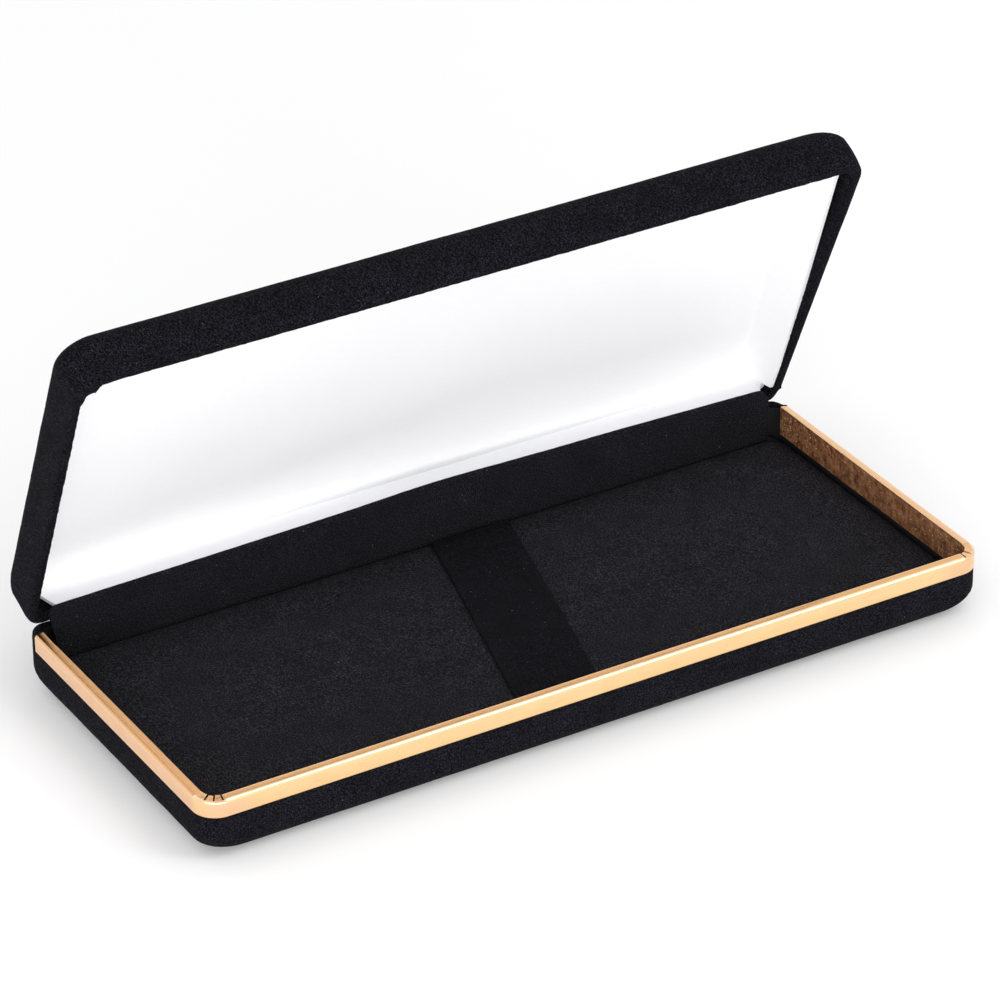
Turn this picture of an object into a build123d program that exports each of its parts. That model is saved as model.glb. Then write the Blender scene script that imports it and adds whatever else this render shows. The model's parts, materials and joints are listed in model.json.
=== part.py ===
from build123d import *
import math
import os

os.makedirs("parts", exist_ok=True)

# Millimetres. X runs along the case, Y from front to back, Z up.
# The origin is the middle of the base's underside.

# The two halves
case_length = 175.0
case_width = 76.6
base_height = 13.5
lid_height = 12.5
closing_gap = 0.3
open_angle = 65.8
rim_corner_radius = 5.0
flat_corner_radius = 7.0
edge_reach = 5.2
edge_rise = 4.9
shell_wall = 1.0
velour_thickness = 0.52
fit_gap = 0.03

# Gold strip round the base's rim
strip_metal = 0.3
strip_face_height = 3.8
strip_leg_height = 6.5
strip_lip_slope = 0.2
strip_edge_radius = 0.45
velour_in_strip = 0.34
velour_recess = 0.15
strip_end_inset = 5.6
slit_angles = (216.0, 238.0, 260.0)
slit_width = 0.35
slit_stop = 0.3

# The edges of the two back walls slope away from the hinge
back_rim_start = 0.3
back_rim_drop = 1.65
back_velour = 0.43

# Pad
pad_depth = 6.8
pad_side_clearance = 0.9
pad_corner_radius = 4.0
pad_edge_round = 1.0
pad_crown = 0.5
pad_velour_thickness = 0.45
pad_foam_thickness = 1.7
board_thickness = 0.9
board_leg_inset = 8.0

# Strap
strap_width = 17.6
strap_angle = 14.6
strap_thickness = 0.5
strap_tuck = 6.0
strap_offset = 1.0

# Hinge
hinge_axis_inset = 2.25
knuckle_radius = 1.0
pin_radius = 0.45
pin_clearance = 0.05
pin_head_radius = 0.8
pin_head_thickness = 0.4
leaf_thickness = 0.5
leaf_length = 64.0
leaf_height = 8.0
knuckle_length = 12.0
knuckle_gap = 0.3
cam_length = 14.0
spring_thickness = 0.3
spring_width = 12.0
spring_bow = 0.5
swing_clearance = 0.35
rivet_radius = 0.8
rivet_head_radius = 1.5
rivet_head_thickness = 0.28
rivet_drop = 4.6
base_rivet_spread = 26.0
lid_rivet_spread = 14.0

# Cover strip in front of the hinge
cover_inset = 5.0
cover_length = 165.0
cover_card = 0.5
cover_velour = 0.3
cover_stand = (
    (-82.5, 4.35),
    (-60, 4.75),
    (-40, 5.05),
    (-20, 5.45),
    (0, 6.1),
    (20, 5.85),
    (45, 5.35),
    (65, 4.9),
    (82.5, 4.4),
)
cover_end_radius = 1.8
cover_foot_depth = 9.0
cover_edge_round = 0.28

# Lining of the lid
turn_in_thickness = 0.4
turn_in_depth = 7.0
lining_card_thickness = 0.5
wadding_thickness = 1.2
satin_thickness = 0.27
satin_crown = 0.5
lining_edge_round = 0.8
lining_panel_inset = 5.7
flap_start = 2.2
hinge_flap_start = 1.6
hinge_flap_bend = 6.1
flap_end_inset = 7.5
right_flap_front = 3.6
right_flap_slope = 0.0492
lining_corner_radius = 6.0
lining_notch = 4.4
leaf_side_clearance = 1.5

# Places that follow from these
half_length = case_length / 2
half_width = case_width / 2
strip_lip = 2 * strip_metal + velour_in_strip + shell_wall + 3 * fit_gap
shell_inner_inset = strip_lip - strip_metal - fit_gap
shell_outer_inset = shell_inner_inset - shell_wall
lid_rim_z = base_height + closing_gap
lid_top_z = lid_rim_z + lid_height
hinge_y = half_width - hinge_axis_inset
hinge_z = base_height
strip_end_y = half_width - strip_end_inset
floor_z = velour_thickness + fit_gap + shell_wall
shell_top_z = base_height - strip_lip_slope - strip_metal - 2 * fit_gap
edge_steps = 4
far = 20.0


def plan(inset, z, radius):
    """A rounded rectangle at one height, this far inside the case's outline."""
    size = (case_length - 2 * inset, case_width - 2 * inset)
    return Pos(0, 0, z) * RectangleRounded(*size, radius)


def half_form(inset, z_rim, z_flat, flat_inset, over=0.0):
    """One half as a closed block: upright walls, then a rounded edge into the flat face.

    The far edge is a quarter of an ellipse. The plan corners grow rounder along that edge.
    """
    up = 1 if z_flat > z_rim else -1
    height = abs(z_flat - z_rim)
    reach = edge_reach - inset
    rise = min(edge_rise, 0.9 * height) - flat_inset
    z_turn = z_flat - up * rise
    radius = rim_corner_radius - inset
    wall = loft([plan(inset, z_rim - up * over, radius), plan(inset, z_turn, radius)], ruled=True)
    sections = []
    for step in range(edge_steps + 1):
        angle = math.pi / 2 * step / edge_steps
        share = math.sin(angle)
        section_inset = inset + reach * (1 - math.cos(angle))
        section_radius = radius + (flat_corner_radius - radius) * share
        sections.append(plan(section_inset, z_turn + up * rise * share, section_radius))
    return wall + loft(sections)


def yz_prism(points, length, x=0.0):
    """A prism along X with this outline, given as (y, z) points."""
    outline = make_face(Plane.YZ * Polyline(*points, close=True))
    return Pos(x, 0, 0) * extrude(outline, length / 2, both=True)


def back_slope(drop_start, drop_end, up):
    """What is cut off a back wall above (up = 1) or below (up = -1) a slope behind the strip's end."""
    y_start = strip_end_y + fit_gap
    z_start = hinge_z - up * drop_start
    z_end = hinge_z - up * drop_end
    slope = (z_end - z_start) / (half_width - y_start)
    z_far = z_end + slope * far
    points = [
        (y_start, z_start),
        (half_width + far, z_far),
        (half_width + far, hinge_z + up * far),
        (y_start, hinge_z + up * far),
    ]
    return yz_prism(points, 2 * case_length)


def opened(shape):
    """Turn a piece of the shut lid to where it stands in the rest pose."""
    axis = Axis((0, hinge_y, hinge_z), (1, 0, 0))
    return shape.rotate(axis, -open_angle)


def base_form(inset, flat_inset, over=0.0):
    return half_form(inset, base_height, flat_inset, flat_inset, over)


def lid_form(inset, flat_inset, over=0.0):
    return half_form(inset, lid_rim_z, lid_top_z - flat_inset, flat_inset, over)


# Base shell: a tray whose back wall is lower, to leave the hinge room
shell_back_start = back_rim_start + back_velour
shell_back_drop = back_rim_drop + back_velour
above_shell = Box(2 * case_length, case_width, far, align=(Align.CENTER, Align.MAX, Align.MIN))
above_shell = Pos(0, strip_end_y + fit_gap, shell_top_z) * above_shell
base_shell = base_form(shell_outer_inset, velour_thickness + fit_gap)
base_shell -= base_form(shell_inner_inset, floor_z, over=1.0)
base_shell -= above_shell
base_shell -= back_slope(shell_back_start, shell_back_drop, 1)

# Base velour: a skin round the shell, thinner inside the strip, and over the edge of the back wall
skin_inner_inset = shell_outer_inset - fit_gap
base_velour = base_form(velour_recess, 0.0) - base_form(skin_inner_inset, velour_thickness, over=1.0)
strip_low_z = base_height - strip_face_height - fit_gap
channel_box = Box(2 * case_length, case_width, far, align=(Align.CENTER, Align.MAX, Align.MIN))
channel = Pos(0, strip_end_y + fit_gap, strip_low_z) * channel_box
strip_room = strip_metal + fit_gap
channel -= extrude(plan(strip_room, strip_low_z - 1, rim_corner_radius - strip_room), far + 2)
base_velour -= channel
base_velour -= above_shell
base_velour -= back_slope(back_rim_start, back_rim_drop, 1)
edge_wrap = base_form(velour_recess, 0.0) - base_form(shell_inner_inset, floor_z, over=1.0)
edge_wrap &= back_slope(shell_back_start - fit_gap, shell_back_drop - fit_gap, 1)
edge_wrap -= back_slope(back_rim_start, back_rim_drop, 1)
base_velour += edge_wrap

# Rim strip: one channel section, swept round three sides
left_start = (-half_length, strip_end_y)
strip_route = FilletPolyline(
    left_start,
    (-half_length, -half_width),
    (half_length, -half_width),
    (half_length, strip_end_y),
    radius=rim_corner_radius,
)
section_plane = Plane(origin=(*left_start, base_height), x_dir=(1, 0, 0), z_dir=(0, -1, 0))
lip_low = -strip_lip_slope
strip_points = [
    (0, -strip_face_height),
    (0, lip_low),
    (strip_lip, 0),
    (strip_lip, -strip_leg_height),
    (strip_lip - strip_metal, -strip_leg_height),
    (strip_lip - strip_metal, -strip_metal),
    (strip_metal, lip_low - strip_metal),
    (strip_metal, -strip_face_height),
]
strip_section = make_face(Polyline(*strip_points, close=True))
outer_corner = strip_section.vertices().sort_by_distance((0, lip_low, 0))[0]
strip_section = fillet(outer_corner, strip_edge_radius)
rim_strip = sweep(section_plane * strip_section, path=Pos(0, 0, base_height) * strip_route)
slit_depth = strip_leg_height + 2
for side in (-1, 1):
    corner = (side * (half_length - rim_corner_radius), -half_width + rim_corner_radius, base_height)
    for slit_angle in slit_angles:
        turn = slit_angle if side < 0 else 180 - slit_angle
        slit_box = Box(
            rim_corner_radius - slit_stop,
            slit_width,
            slit_depth,
            align=(Align.MIN, Align.CENTER, Align.CENTER),
        )
        rim_strip -= Pos(*corner) * Rot(0, 0, turn) * slit_box

# Pad: a crowned block, cut into velour, foam and board
pad_inset = strip_lip + pad_side_clearance
pad_back_inset = cover_inset + strap_thickness + 2 * fit_gap + 0.1
pad_front_y = -half_width + pad_inset
pad_back_y = half_width - pad_back_inset
pad_length = case_length - 2 * pad_inset
pad_width = pad_back_y - pad_front_y
pad_middle_y = (pad_back_y + pad_front_y) / 2
pad_edge_z = base_height - pad_depth
board_top_z = pad_edge_z - pad_velour_thickness - pad_foam_thickness
board_low_z = board_top_z - board_thickness
crown_steps = 3


def crowned_block(length, width, y, z_low, z_edge, corner, edge_round, crown, up=1):
    """A block with rounded upper edges and a shallow crown; up = -1 hangs it upside down."""

    def section(inset, z, radius):
        return Pos(0, y, z) * RectangleRounded(length - 2 * inset, width - 2 * inset, radius)

    z_side = z_edge - up * edge_round
    block = loft([section(0, z_low, corner), section(0, z_side, corner)], ruled=True)
    rounded = []
    for step in range(edge_steps):
        angle = math.pi / 2 * step / (edge_steps - 1)
        inset = edge_round * (1 - math.cos(angle))
        rounded.append(section(inset, z_side + up * edge_round * math.sin(angle), corner - inset / 2))
    block += loft(rounded)
    last_radius = corner - edge_round / 2
    crown_inset = 0.44 * width
    domed = []
    for step in range(crown_steps + 1):
        share = step / crown_steps
        inset = edge_round + (crown_inset - edge_round) * share
        height = crown * (1 - (1 - share) ** 2)
        radius = last_radius + (0.05 * width - last_radius) * share
        domed.append(section(inset, z_edge + up * height, radius))
    return block + loft(domed)


def pad_form(grow, z_low):
    """The pad's outline, grown or shrunk all round by one amount."""
    return crowned_block(
        pad_length + 2 * grow,
        pad_width + 2 * grow,
        pad_middle_y,
        z_low,
        pad_edge_z + grow,
        pad_corner_radius + grow,
        pad_edge_round + grow,
        pad_crown,
    )


pad_inside = pad_form(-pad_velour_thickness, board_low_z - 1)
pad_velour = pad_form(0, board_low_z) - pad_inside
foam_box = Box(2 * case_length, 2 * case_width, far, align=(Align.CENTER, Align.CENTER, Align.MIN))
pad_foam = pad_form(-pad_velour_thickness - fit_gap, board_low_z)
pad_foam &= Pos(0, 0, board_top_z + fit_gap) * foam_box
board_grow = -2 * (pad_velour_thickness + fit_gap)
board_size = (pad_length + board_grow, pad_width + board_grow)
board_plan = RectangleRounded(*board_size, pad_corner_radius - pad_velour_thickness)
pad_board = Pos(0, pad_middle_y, board_low_z) * extrude(board_plan, board_thickness)
leg_height = board_low_z - floor_z - fit_gap
leg_run_x = pad_length - 2 * board_leg_inset
leg_run_y = pad_width - 2 * board_leg_inset
leg_z = floor_z + fit_gap + leg_height / 2
for side in (-1, 1):
    long_leg = Box(leg_run_x, board_thickness, leg_height)
    short_leg = Box(board_thickness, leg_run_y, leg_height)
    pad_board += Pos(0, pad_middle_y + side * leg_run_y / 2, leg_z) * long_leg
    pad_board += Pos(side * leg_run_x / 2, pad_middle_y, leg_z) * short_leg

# Strap: a slanting band over the pad, down both edges and tucked under the board
strap_band = Box(strap_width, 2 * case_width, 2 * far)
strap_band = Pos(strap_offset, pad_middle_y, 0) * Rot(0, 0, -strap_angle) * strap_band
pen_strap = pad_form(strap_thickness + fit_gap, board_low_z) - pad_form(fit_gap, board_low_z - 1)
tuck_top = board_low_z - fit_gap
strap_reach = pad_width / 2 + fit_gap + strap_thickness
for side in (-1, 1):
    tuck_y = pad_middle_y + side * (strap_reach - strap_tuck / 2)
    tuck_box = Box(case_length, strap_tuck, strap_thickness, align=(Align.CENTER, Align.CENTER, Align.MAX))
    link_y = pad_middle_y + side * (strap_reach - strap_thickness / 2)
    pen_strap += Pos(0, tuck_y, tuck_top) * tuck_box
    pen_strap += Pos(0, link_y, tuck_top) * Box(case_length, strap_thickness, strap_thickness)
pen_strap &= strap_band

# Hinge: two leaves on one pin, with a cam and a snap spring in the middle
leaf_face_y = hinge_y
leaf_back_y = hinge_y + leaf_thickness
leaf_start = knuckle_radius + swing_clearance
knuckle_outer_x = leaf_length / 2 - knuckle_length / 2
knuckle_inner_x = knuckle_outer_x - knuckle_length - knuckle_gap
axis_place = Pos(0, hinge_y, hinge_z)


def knuckle(x, length, up):
    """One rolled knuckle with the neck that joins it to its leaf."""
    barrel = Rot(0, 90, 0) * Cylinder(knuckle_radius, length)
    neck = Pos(0, leaf_thickness / 2, up * leaf_start / 2) * Box(length, leaf_thickness, leaf_start + fit_gap)
    bore = Rot(0, 90, 0) * Cylinder(pin_radius + pin_clearance, length + 1)
    return axis_place * Pos(x, 0, 0) * (barrel + neck - bore)


def leaf_plate(up):
    """The flat of a leaf, below (up = -1) or above (up = 1) the pin."""
    height = leaf_height - leaf_start
    plate = Box(leaf_length, leaf_thickness, height)
    plate = fillet(plate.edges().filter_by(Axis.Y).group_by(Axis.Z)[0 if up < 0 else -1], 1.0)
    return axis_place * Pos(0, leaf_thickness / 2, up * (leaf_start + height / 2)) * plate


def rivet(x, up, tail_y, grip_y):
    """A rivet along Y: head on the leaf's face, shank through leaf and wall."""
    head = Cylinder(rivet_head_radius, rivet_head_thickness, align=(Align.CENTER, Align.CENTER, Align.MIN))
    shank_length = tail_y - grip_y
    shank = Cylinder(rivet_radius, shank_length, align=(Align.CENTER, Align.CENTER, Align.MAX))
    body = Rot(90, 0, 0) * (head + shank)
    return Pos(x, grip_y, hinge_z + up * rivet_drop) * body


def rivet_hole(x, up):
    hole = Rot(90, 0, 0) * Cylinder(rivet_radius + fit_gap, 2 * far)
    return Pos(x, hinge_y, hinge_z + up * rivet_drop) * hole


hinge_base_leaf = leaf_plate(-1)
hinge_lid_leaf = leaf_plate(1)
for side in (-1, 1):
    hinge_base_leaf += knuckle(side * knuckle_outer_x, knuckle_length, -1)
    hinge_lid_leaf += knuckle(side * knuckle_inner_x, knuckle_length - knuckle_gap, 1)
hinge_lid_leaf += knuckle(0, cam_length, 1)

pin_length = leaf_length + 2 * fit_gap
hinge_pin = Rot(0, 90, 0) * Cylinder(pin_radius, pin_length)
for side in (-1, 1):
    pin_head = Rot(0, 90, 0) * Cylinder(pin_head_radius, pin_head_thickness)
    hinge_pin += Pos(side * (pin_length + pin_head_thickness) / 2, 0, 0) * pin_head
hinge_pin = axis_place * hinge_pin

# The spring's foot lies on the base leaf; its bowed tip stands under the cam
spring_foot_z = hinge_z - leaf_height + 1
spring_bend_z = hinge_z - rivet_drop + rivet_head_radius + 0.3
spring_tip_z = hinge_z - knuckle_radius - swing_clearance - spring_thickness / 2
spring_y = leaf_face_y - fit_gap - spring_thickness / 2
spring_line = FilletPolyline(
    (spring_y, spring_foot_z),
    (spring_y, spring_bend_z),
    (spring_y - spring_bow, (spring_bend_z + spring_tip_z) / 2),
    (spring_y - spring_bow / 2, spring_tip_z),
    radius=0.4,
)
spring_outline = trace(spring_line, spring_thickness)
hinge_spring = extrude(Plane.YZ * spring_outline, spring_width / 2, both=True)

# Rivets, and their holes in leaves, walls and spring
base_tail_y = half_width - shell_outer_inset
spring_grip_y = leaf_face_y - fit_gap - spring_thickness
hinge_base_rivets = []
for x in (-base_rivet_spread, base_rivet_spread):
    hinge_base_rivets.append(rivet(x, -1, base_tail_y, leaf_face_y))
hinge_base_rivets.append(rivet(0, -1, base_tail_y, spring_grip_y))
hinge_lid_rivets = []
for x in (-lid_rivet_spread, lid_rivet_spread):
    hinge_lid_rivets.append(rivet(x, 1, base_tail_y, leaf_face_y))
for x in (-base_rivet_spread, 0, base_rivet_spread):
    back_only = rivet_hole(x, -1) & Pos(0, half_width, hinge_z) * Box(case_length, case_width, 4 * far)
    hinge_base_leaf -= back_only
    base_shell -= back_only
    hinge_spring -= back_only

# Hinge cover: a folded card with a foot on the back wall, wrapped in velour
cover_front_y = half_width - cover_inset
cover_back_y = cover_front_y + cover_card + 2 * cover_velour
cover_foot_z = base_height - cover_foot_depth
cover_foot_back_y = half_width - shell_inner_inset - 2 * fit_gap
card_front_y = cover_front_y + cover_velour


def cover_outline(half, z_low, trim):
    """The cover seen from the front: rounded upper corners and an upper edge that bows up."""
    stretch = half / cover_stand[-1][0]
    bow = [(x * stretch, base_height + stand - trim) for x, stand in cover_stand]
    sides = Polyline(bow[-1], (half, z_low), (-half, z_low), bow[0])
    outline = make_face(Plane.XZ * (Spline(*bow) + sides))
    upper_corners = [v for v in outline.vertices() if v.Z > base_height and abs(v.X) > half - 0.01]
    return fillet(upper_corners, cover_end_radius - trim)


def cover_plate(half, z_low, trim, y_front, y_back):
    face = Pos(0, y_back, 0) * cover_outline(half, z_low, trim)
    return extrude(face, y_back - y_front, dir=(0, -1, 0))


cover_half = cover_length / 2
card_half = cover_half - cover_velour
hinge_cover_card = cover_plate(card_half, cover_foot_z, cover_velour, card_front_y, card_front_y + cover_card)
foot_depth = cover_foot_back_y - card_front_y
foot = Box(2 * card_half - 6, foot_depth, cover_card, align=(Align.CENTER, Align.MIN, Align.MIN))
hinge_cover_card += Pos(0, card_front_y, cover_foot_z) * foot
wrap_low_z = cover_foot_z + cover_card + fit_gap
hinge_cover_velour = cover_plate(cover_half, wrap_low_z, 0, cover_front_y, cover_back_y)
top_edges = hinge_cover_velour.edges().filter_by(GeomType.BSPLINE)
hinge_cover_velour = fillet(top_edges, cover_edge_round)
card_room_y = card_front_y - fit_gap / 2
card_room = cover_plate(
    card_half + fit_gap / 2,
    wrap_low_z - 1,
    cover_velour - fit_gap / 2,
    card_room_y,
    card_room_y + cover_card + fit_gap,
)
hinge_cover_velour -= card_room

# Lid shell, drawn shut and turned open at the end
lid_shell_rim_z = lid_rim_z + turn_in_thickness + fit_gap
lid_roof = velour_thickness + fit_gap + shell_wall
lid_shell = lid_form(shell_outer_inset, velour_thickness + fit_gap)
lid_shell -= lid_form(shell_inner_inset, lid_roof, over=1.0)
lid_shell -= Pos(0, 0, lid_shell_rim_z - far / 2) * Box(2 * case_length, 2 * case_width, far)
lid_shell -= back_slope(shell_back_start, shell_back_drop, -1)
for x in (-lid_rivet_spread, lid_rivet_spread):
    back_only = rivet_hole(x, 1) & Pos(0, half_width, hinge_z) * Box(case_length, case_width, 4 * far)
    hinge_lid_leaf -= back_only
    lid_shell -= back_only

# Lid velour: a skin outside, folded round the rim and glued inside on three sides
lid_velour = lid_form(velour_recess, 0.0) - lid_form(skin_inner_inset, velour_thickness, over=1.0)
rim_wrap = lid_form(velour_recess, 0.0) - lid_form(shell_inner_inset, lid_roof, over=1.0)
rim_slab = Box(
    2 * case_length, 2 * case_width, turn_in_thickness, align=(Align.CENTER, Align.CENTER, Align.MIN)
)
front_wrap = rim_wrap & Pos(0, 0, lid_rim_z) * rim_slab
back_wrap = rim_wrap & back_slope(shell_back_start - fit_gap, shell_back_drop - fit_gap, -1)
turn_in_inset = shell_inner_inset + fit_gap
turn_in = lid_form(turn_in_inset - 2 * fit_gap, lid_roof)
turn_in -= lid_form(turn_in_inset + turn_in_thickness, lid_roof, over=1.0)
turn_in &= Pos(0, 0, lid_rim_z) * Box(2 * case_length, 2 * case_width, 2 * turn_in_depth)
turn_in -= Pos(0, half_width, lid_rim_z) * Box(leaf_length + 2 * leaf_side_clearance, far, far)
shell_room = lid_form(skin_inner_inset, lid_roof, over=1.0) - lid_form(turn_in_inset, lid_roof, over=2.0)
shell_room &= Pos(0, 0, lid_rim_z + turn_in_thickness + far / 2) * Box(2 * case_length, 2 * case_width, far)
turn_in -= shell_room
lid_velour += front_wrap
lid_velour += turn_in
lid_velour += back_wrap
lid_velour -= back_slope(back_rim_start, back_rim_drop, -1)

# Lining: a card tray with four folded flaps, wadding and satin
lining_top = lid_height - lid_roof - 2 * fit_gap
card_low = lining_top - lining_card_thickness
wadding_low = card_low - fit_gap - wadding_thickness
satin_low = wadding_low - fit_gap - satin_thickness
panel_low = card_low - fit_gap


def lid_z(depth):
    """The height, in the shut case, of a point this far inside the lid from its rim."""
    return lid_rim_z + depth


def flap(side, points, run):
    """A strip with this outline, given as (inset, depth) points, along one side of the lid."""
    if side in ("front", "back"):
        way = 1 if side == "back" else -1
        line = [(way * (half_width - inset), lid_z(depth)) for inset, depth in points]
        return yz_prism(line, run)
    way = 1 if side == "right" else -1
    line = [(way * (half_length - inset), lid_z(depth)) for inset, depth in points]
    outline = make_face(Plane.XZ * Polyline(*line, close=True))
    return extrude(outline, run / 2, both=True)


long_run = case_length - 2 * flap_end_inset
short_run = case_width - 2 * flap_end_inset
card_edge = shell_inner_inset + turn_in_thickness + 3 * fit_gap
card_fold = lining_panel_inset
card_inside = card_fold + lining_card_thickness
card_flap = [
    (card_edge, flap_start),
    (card_edge + lining_card_thickness, flap_start),
    (card_inside, card_low),
    (card_inside, lining_top),
    (card_fold, lining_top),
    (card_fold, card_low),
]
hinge_edge = hinge_axis_inset + rivet_head_thickness + 4 * fit_gap
hinge_card_flap = [
    (hinge_edge, hinge_flap_start),
    (hinge_edge + lining_card_thickness, hinge_flap_start),
    (hinge_edge + lining_card_thickness, hinge_flap_bend),
    (card_inside, card_low),
    (card_inside, lining_top),
    (card_fold, lining_top),
    (card_fold, card_low),
    (hinge_edge, hinge_flap_bend + lining_card_thickness / 2),
]
card_plan = (case_length - 2 * card_fold, case_width - 2 * card_fold)
lining_card = extrude(RectangleRounded(*card_plan, lining_corner_radius), lining_card_thickness)
lining_card = Pos(0, 0, lid_z(card_low)) * lining_card
for side in ("left", "right"):
    lining_card += flap(side, card_flap, short_run)
lining_card += flap("front", card_flap, long_run)
lining_card += flap("back", hinge_card_flap, long_run)


def lining_block(inset, low, top, crown):
    """A crowned block that hangs from the lining's card."""
    return crowned_block(
        case_length - 2 * inset,
        case_width - 2 * inset,
        0,
        lid_z(top),
        lid_z(low),
        lining_corner_radius,
        lining_edge_round,
        crown,
        up=-1,
    )


satin_inset = card_inside + fit_gap
wadding_inset = satin_inset + satin_thickness + fit_gap


def satin_funnel(grow):
    """The lining's sloping walls as a closed block.

    The wall on the hinge side stays upright down to its bend.
    """
    bend_share = (hinge_flap_bend - flap_start) / (panel_low - flap_start)
    side_start = card_edge + lining_card_thickness + fit_gap
    side_bend = side_start + (satin_inset - side_start) * bend_share
    hinge_start = hinge_edge + lining_card_thickness + fit_gap
    start_radius = rim_corner_radius - side_start
    bend_radius = start_radius + (lining_corner_radius - start_radius) * bend_share
    steps = [
        (side_start, hinge_start, flap_start, start_radius),
        (side_bend, hinge_start, hinge_flap_bend, bend_radius),
        (satin_inset, satin_inset, panel_low, lining_corner_radius),
    ]
    plans = []
    for side_inset, hinge_inset, depth, radius in steps:
        length = case_length - 2 * (side_inset + grow)
        width = case_width - side_inset - hinge_inset - 2 * grow
        place = Pos(0, (side_inset - hinge_inset) / 2, lid_z(depth))
        plans.append(place * RectangleRounded(length, width, radius - grow))
    return loft(plans, ruled=True)


wadding_room = lining_block(wadding_inset - fit_gap, wadding_low - fit_gap, panel_low + 1, satin_crown)
lining_wadding = lining_block(wadding_inset, wadding_low, panel_low, satin_crown)
lining_satin = satin_funnel(0) - satin_funnel(satin_thickness)
lining_satin += lining_block(satin_inset, satin_low, panel_low, satin_crown)
lining_satin -= wadding_room
notch_depth = hinge_flap_bend + lining_card_thickness
notch_box = Box(2 * lining_notch, 2 * lining_notch, 2 * notch_depth)
for side in (-1, 1):
    notch_place = Pos(side * (half_length - shell_inner_inset), half_width - shell_inner_inset, lid_rim_z)
    lining_satin -= notch_place * notch_box

# The right flap was cut on a slant: it stops further inside the lid at the front
slant_start_y = -half_width + flap_end_inset + 1.0
slant_end_y = slant_start_y + (right_flap_front - flap_start) / right_flap_slope
slant_line = [
    (slant_start_y - far, lid_z(right_flap_front)),
    (slant_start_y, lid_z(right_flap_front)),
    (slant_end_y, lid_z(flap_start)),
    (slant_end_y, lid_z(-1)),
    (slant_start_y - far, lid_z(-1)),
]
right_slant = yz_prism(slant_line, 2 * card_fold, half_length)
lining_card -= right_slant
lining_satin -= right_slant

base_pieces = {
    "base_shell": base_shell,
    "base_velour": base_velour,
    "rim_strip": rim_strip,
    "pad_board": pad_board,
    "pad_foam": pad_foam,
    "pad_velour": pad_velour,
    "pen_strap": pen_strap,
    "hinge_base_leaf": hinge_base_leaf,
    "hinge_pin": hinge_pin,
    "hinge_spring": hinge_spring,
    "hinge_base_rivets": Compound(hinge_base_rivets),
    "hinge_cover_card": hinge_cover_card,
    "hinge_cover_velour": hinge_cover_velour,
}
lid_pieces = {
    "lid_shell": lid_shell,
    "lid_velour": lid_velour,
    "hinge_lid_leaf": hinge_lid_leaf,
    "hinge_lid_rivets": Compound(hinge_lid_rivets),
    "lining_card": lining_card,
    "lining_wadding": lining_wadding,
    "lining_satin": lining_satin,
}

for name, piece in base_pieces.items():
    export_step(piece, f"parts/{name}.step")
for name, piece in lid_pieces.items():
    export_step(opened(piece), f"parts/{name}.step")
print("hinge axis y, z:", round(hinge_y, 3), round(hinge_z, 3), "pad edge z:", round(pad_edge_z, 3))
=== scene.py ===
# %% [markdown]
# # A velour pen case, dressed for its picture
# The CAD model already has the true sizes, so this lesson only adds what CAD leaves plain: cloth, pile,
# folds, polish and light. Each cell first says what the piece is on the real case, and why it is made
# this way here.

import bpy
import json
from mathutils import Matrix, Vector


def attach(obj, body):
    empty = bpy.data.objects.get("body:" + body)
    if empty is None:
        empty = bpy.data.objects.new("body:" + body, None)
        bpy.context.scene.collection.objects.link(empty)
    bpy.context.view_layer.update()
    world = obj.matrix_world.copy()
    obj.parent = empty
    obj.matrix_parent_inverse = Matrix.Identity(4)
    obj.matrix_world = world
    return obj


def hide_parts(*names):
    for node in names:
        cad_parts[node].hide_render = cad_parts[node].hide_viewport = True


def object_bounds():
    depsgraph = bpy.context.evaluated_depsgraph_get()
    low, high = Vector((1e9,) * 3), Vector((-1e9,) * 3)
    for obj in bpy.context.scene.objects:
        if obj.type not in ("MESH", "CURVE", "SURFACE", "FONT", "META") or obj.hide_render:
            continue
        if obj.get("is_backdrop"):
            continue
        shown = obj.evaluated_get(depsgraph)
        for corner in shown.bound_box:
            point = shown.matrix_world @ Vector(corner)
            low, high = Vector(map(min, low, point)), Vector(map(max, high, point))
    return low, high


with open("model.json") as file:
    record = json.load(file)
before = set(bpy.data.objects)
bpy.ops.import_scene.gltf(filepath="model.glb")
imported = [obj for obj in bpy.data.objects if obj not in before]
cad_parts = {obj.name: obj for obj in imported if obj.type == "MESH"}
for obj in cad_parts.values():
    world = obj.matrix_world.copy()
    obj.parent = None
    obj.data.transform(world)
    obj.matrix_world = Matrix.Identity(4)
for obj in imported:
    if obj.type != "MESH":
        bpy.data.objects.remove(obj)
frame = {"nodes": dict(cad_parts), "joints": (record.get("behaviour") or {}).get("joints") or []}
cad_low, cad_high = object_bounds()
print("CAD box in mm:", [round(1000 * v) for v in cad_low], [round(1000 * v) for v in cad_high])

# %% [markdown]
# ## Shared sizes
# The case stands open with its lid turned back about a pin near its back edge. Pieces of the lid are
# easiest to draw shut, where the lid lies flat, and are then turned open as a whole.

# %% Sizes of the case in millimetres
import json
import math

import bmesh
import bpy
import numpy as np
from mathutils import Matrix, Vector, noise
from mathutils.bvhtree import BVHTree

MM = 0.001
CASE_LENGTH = 175.0
CASE_WIDTH = 76.6
BASE_HEIGHT = 13.5
LID_HEIGHT = 12.5
LID_RIM_Z = BASE_HEIGHT + 0.3
RIM_RADIUS = 5.0
FLAT_RADIUS = 7.0
EDGE_REACH = 5.2
EDGE_RISE = 4.9
STRIP_END_Y = CASE_WIDTH / 2 - 5.6
BACK_RIM_START = 0.3
BACK_RIM_DROP = 1.65
HALF_LENGTH = CASE_LENGTH / 2
HALF_WIDTH = CASE_WIDTH / 2

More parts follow.
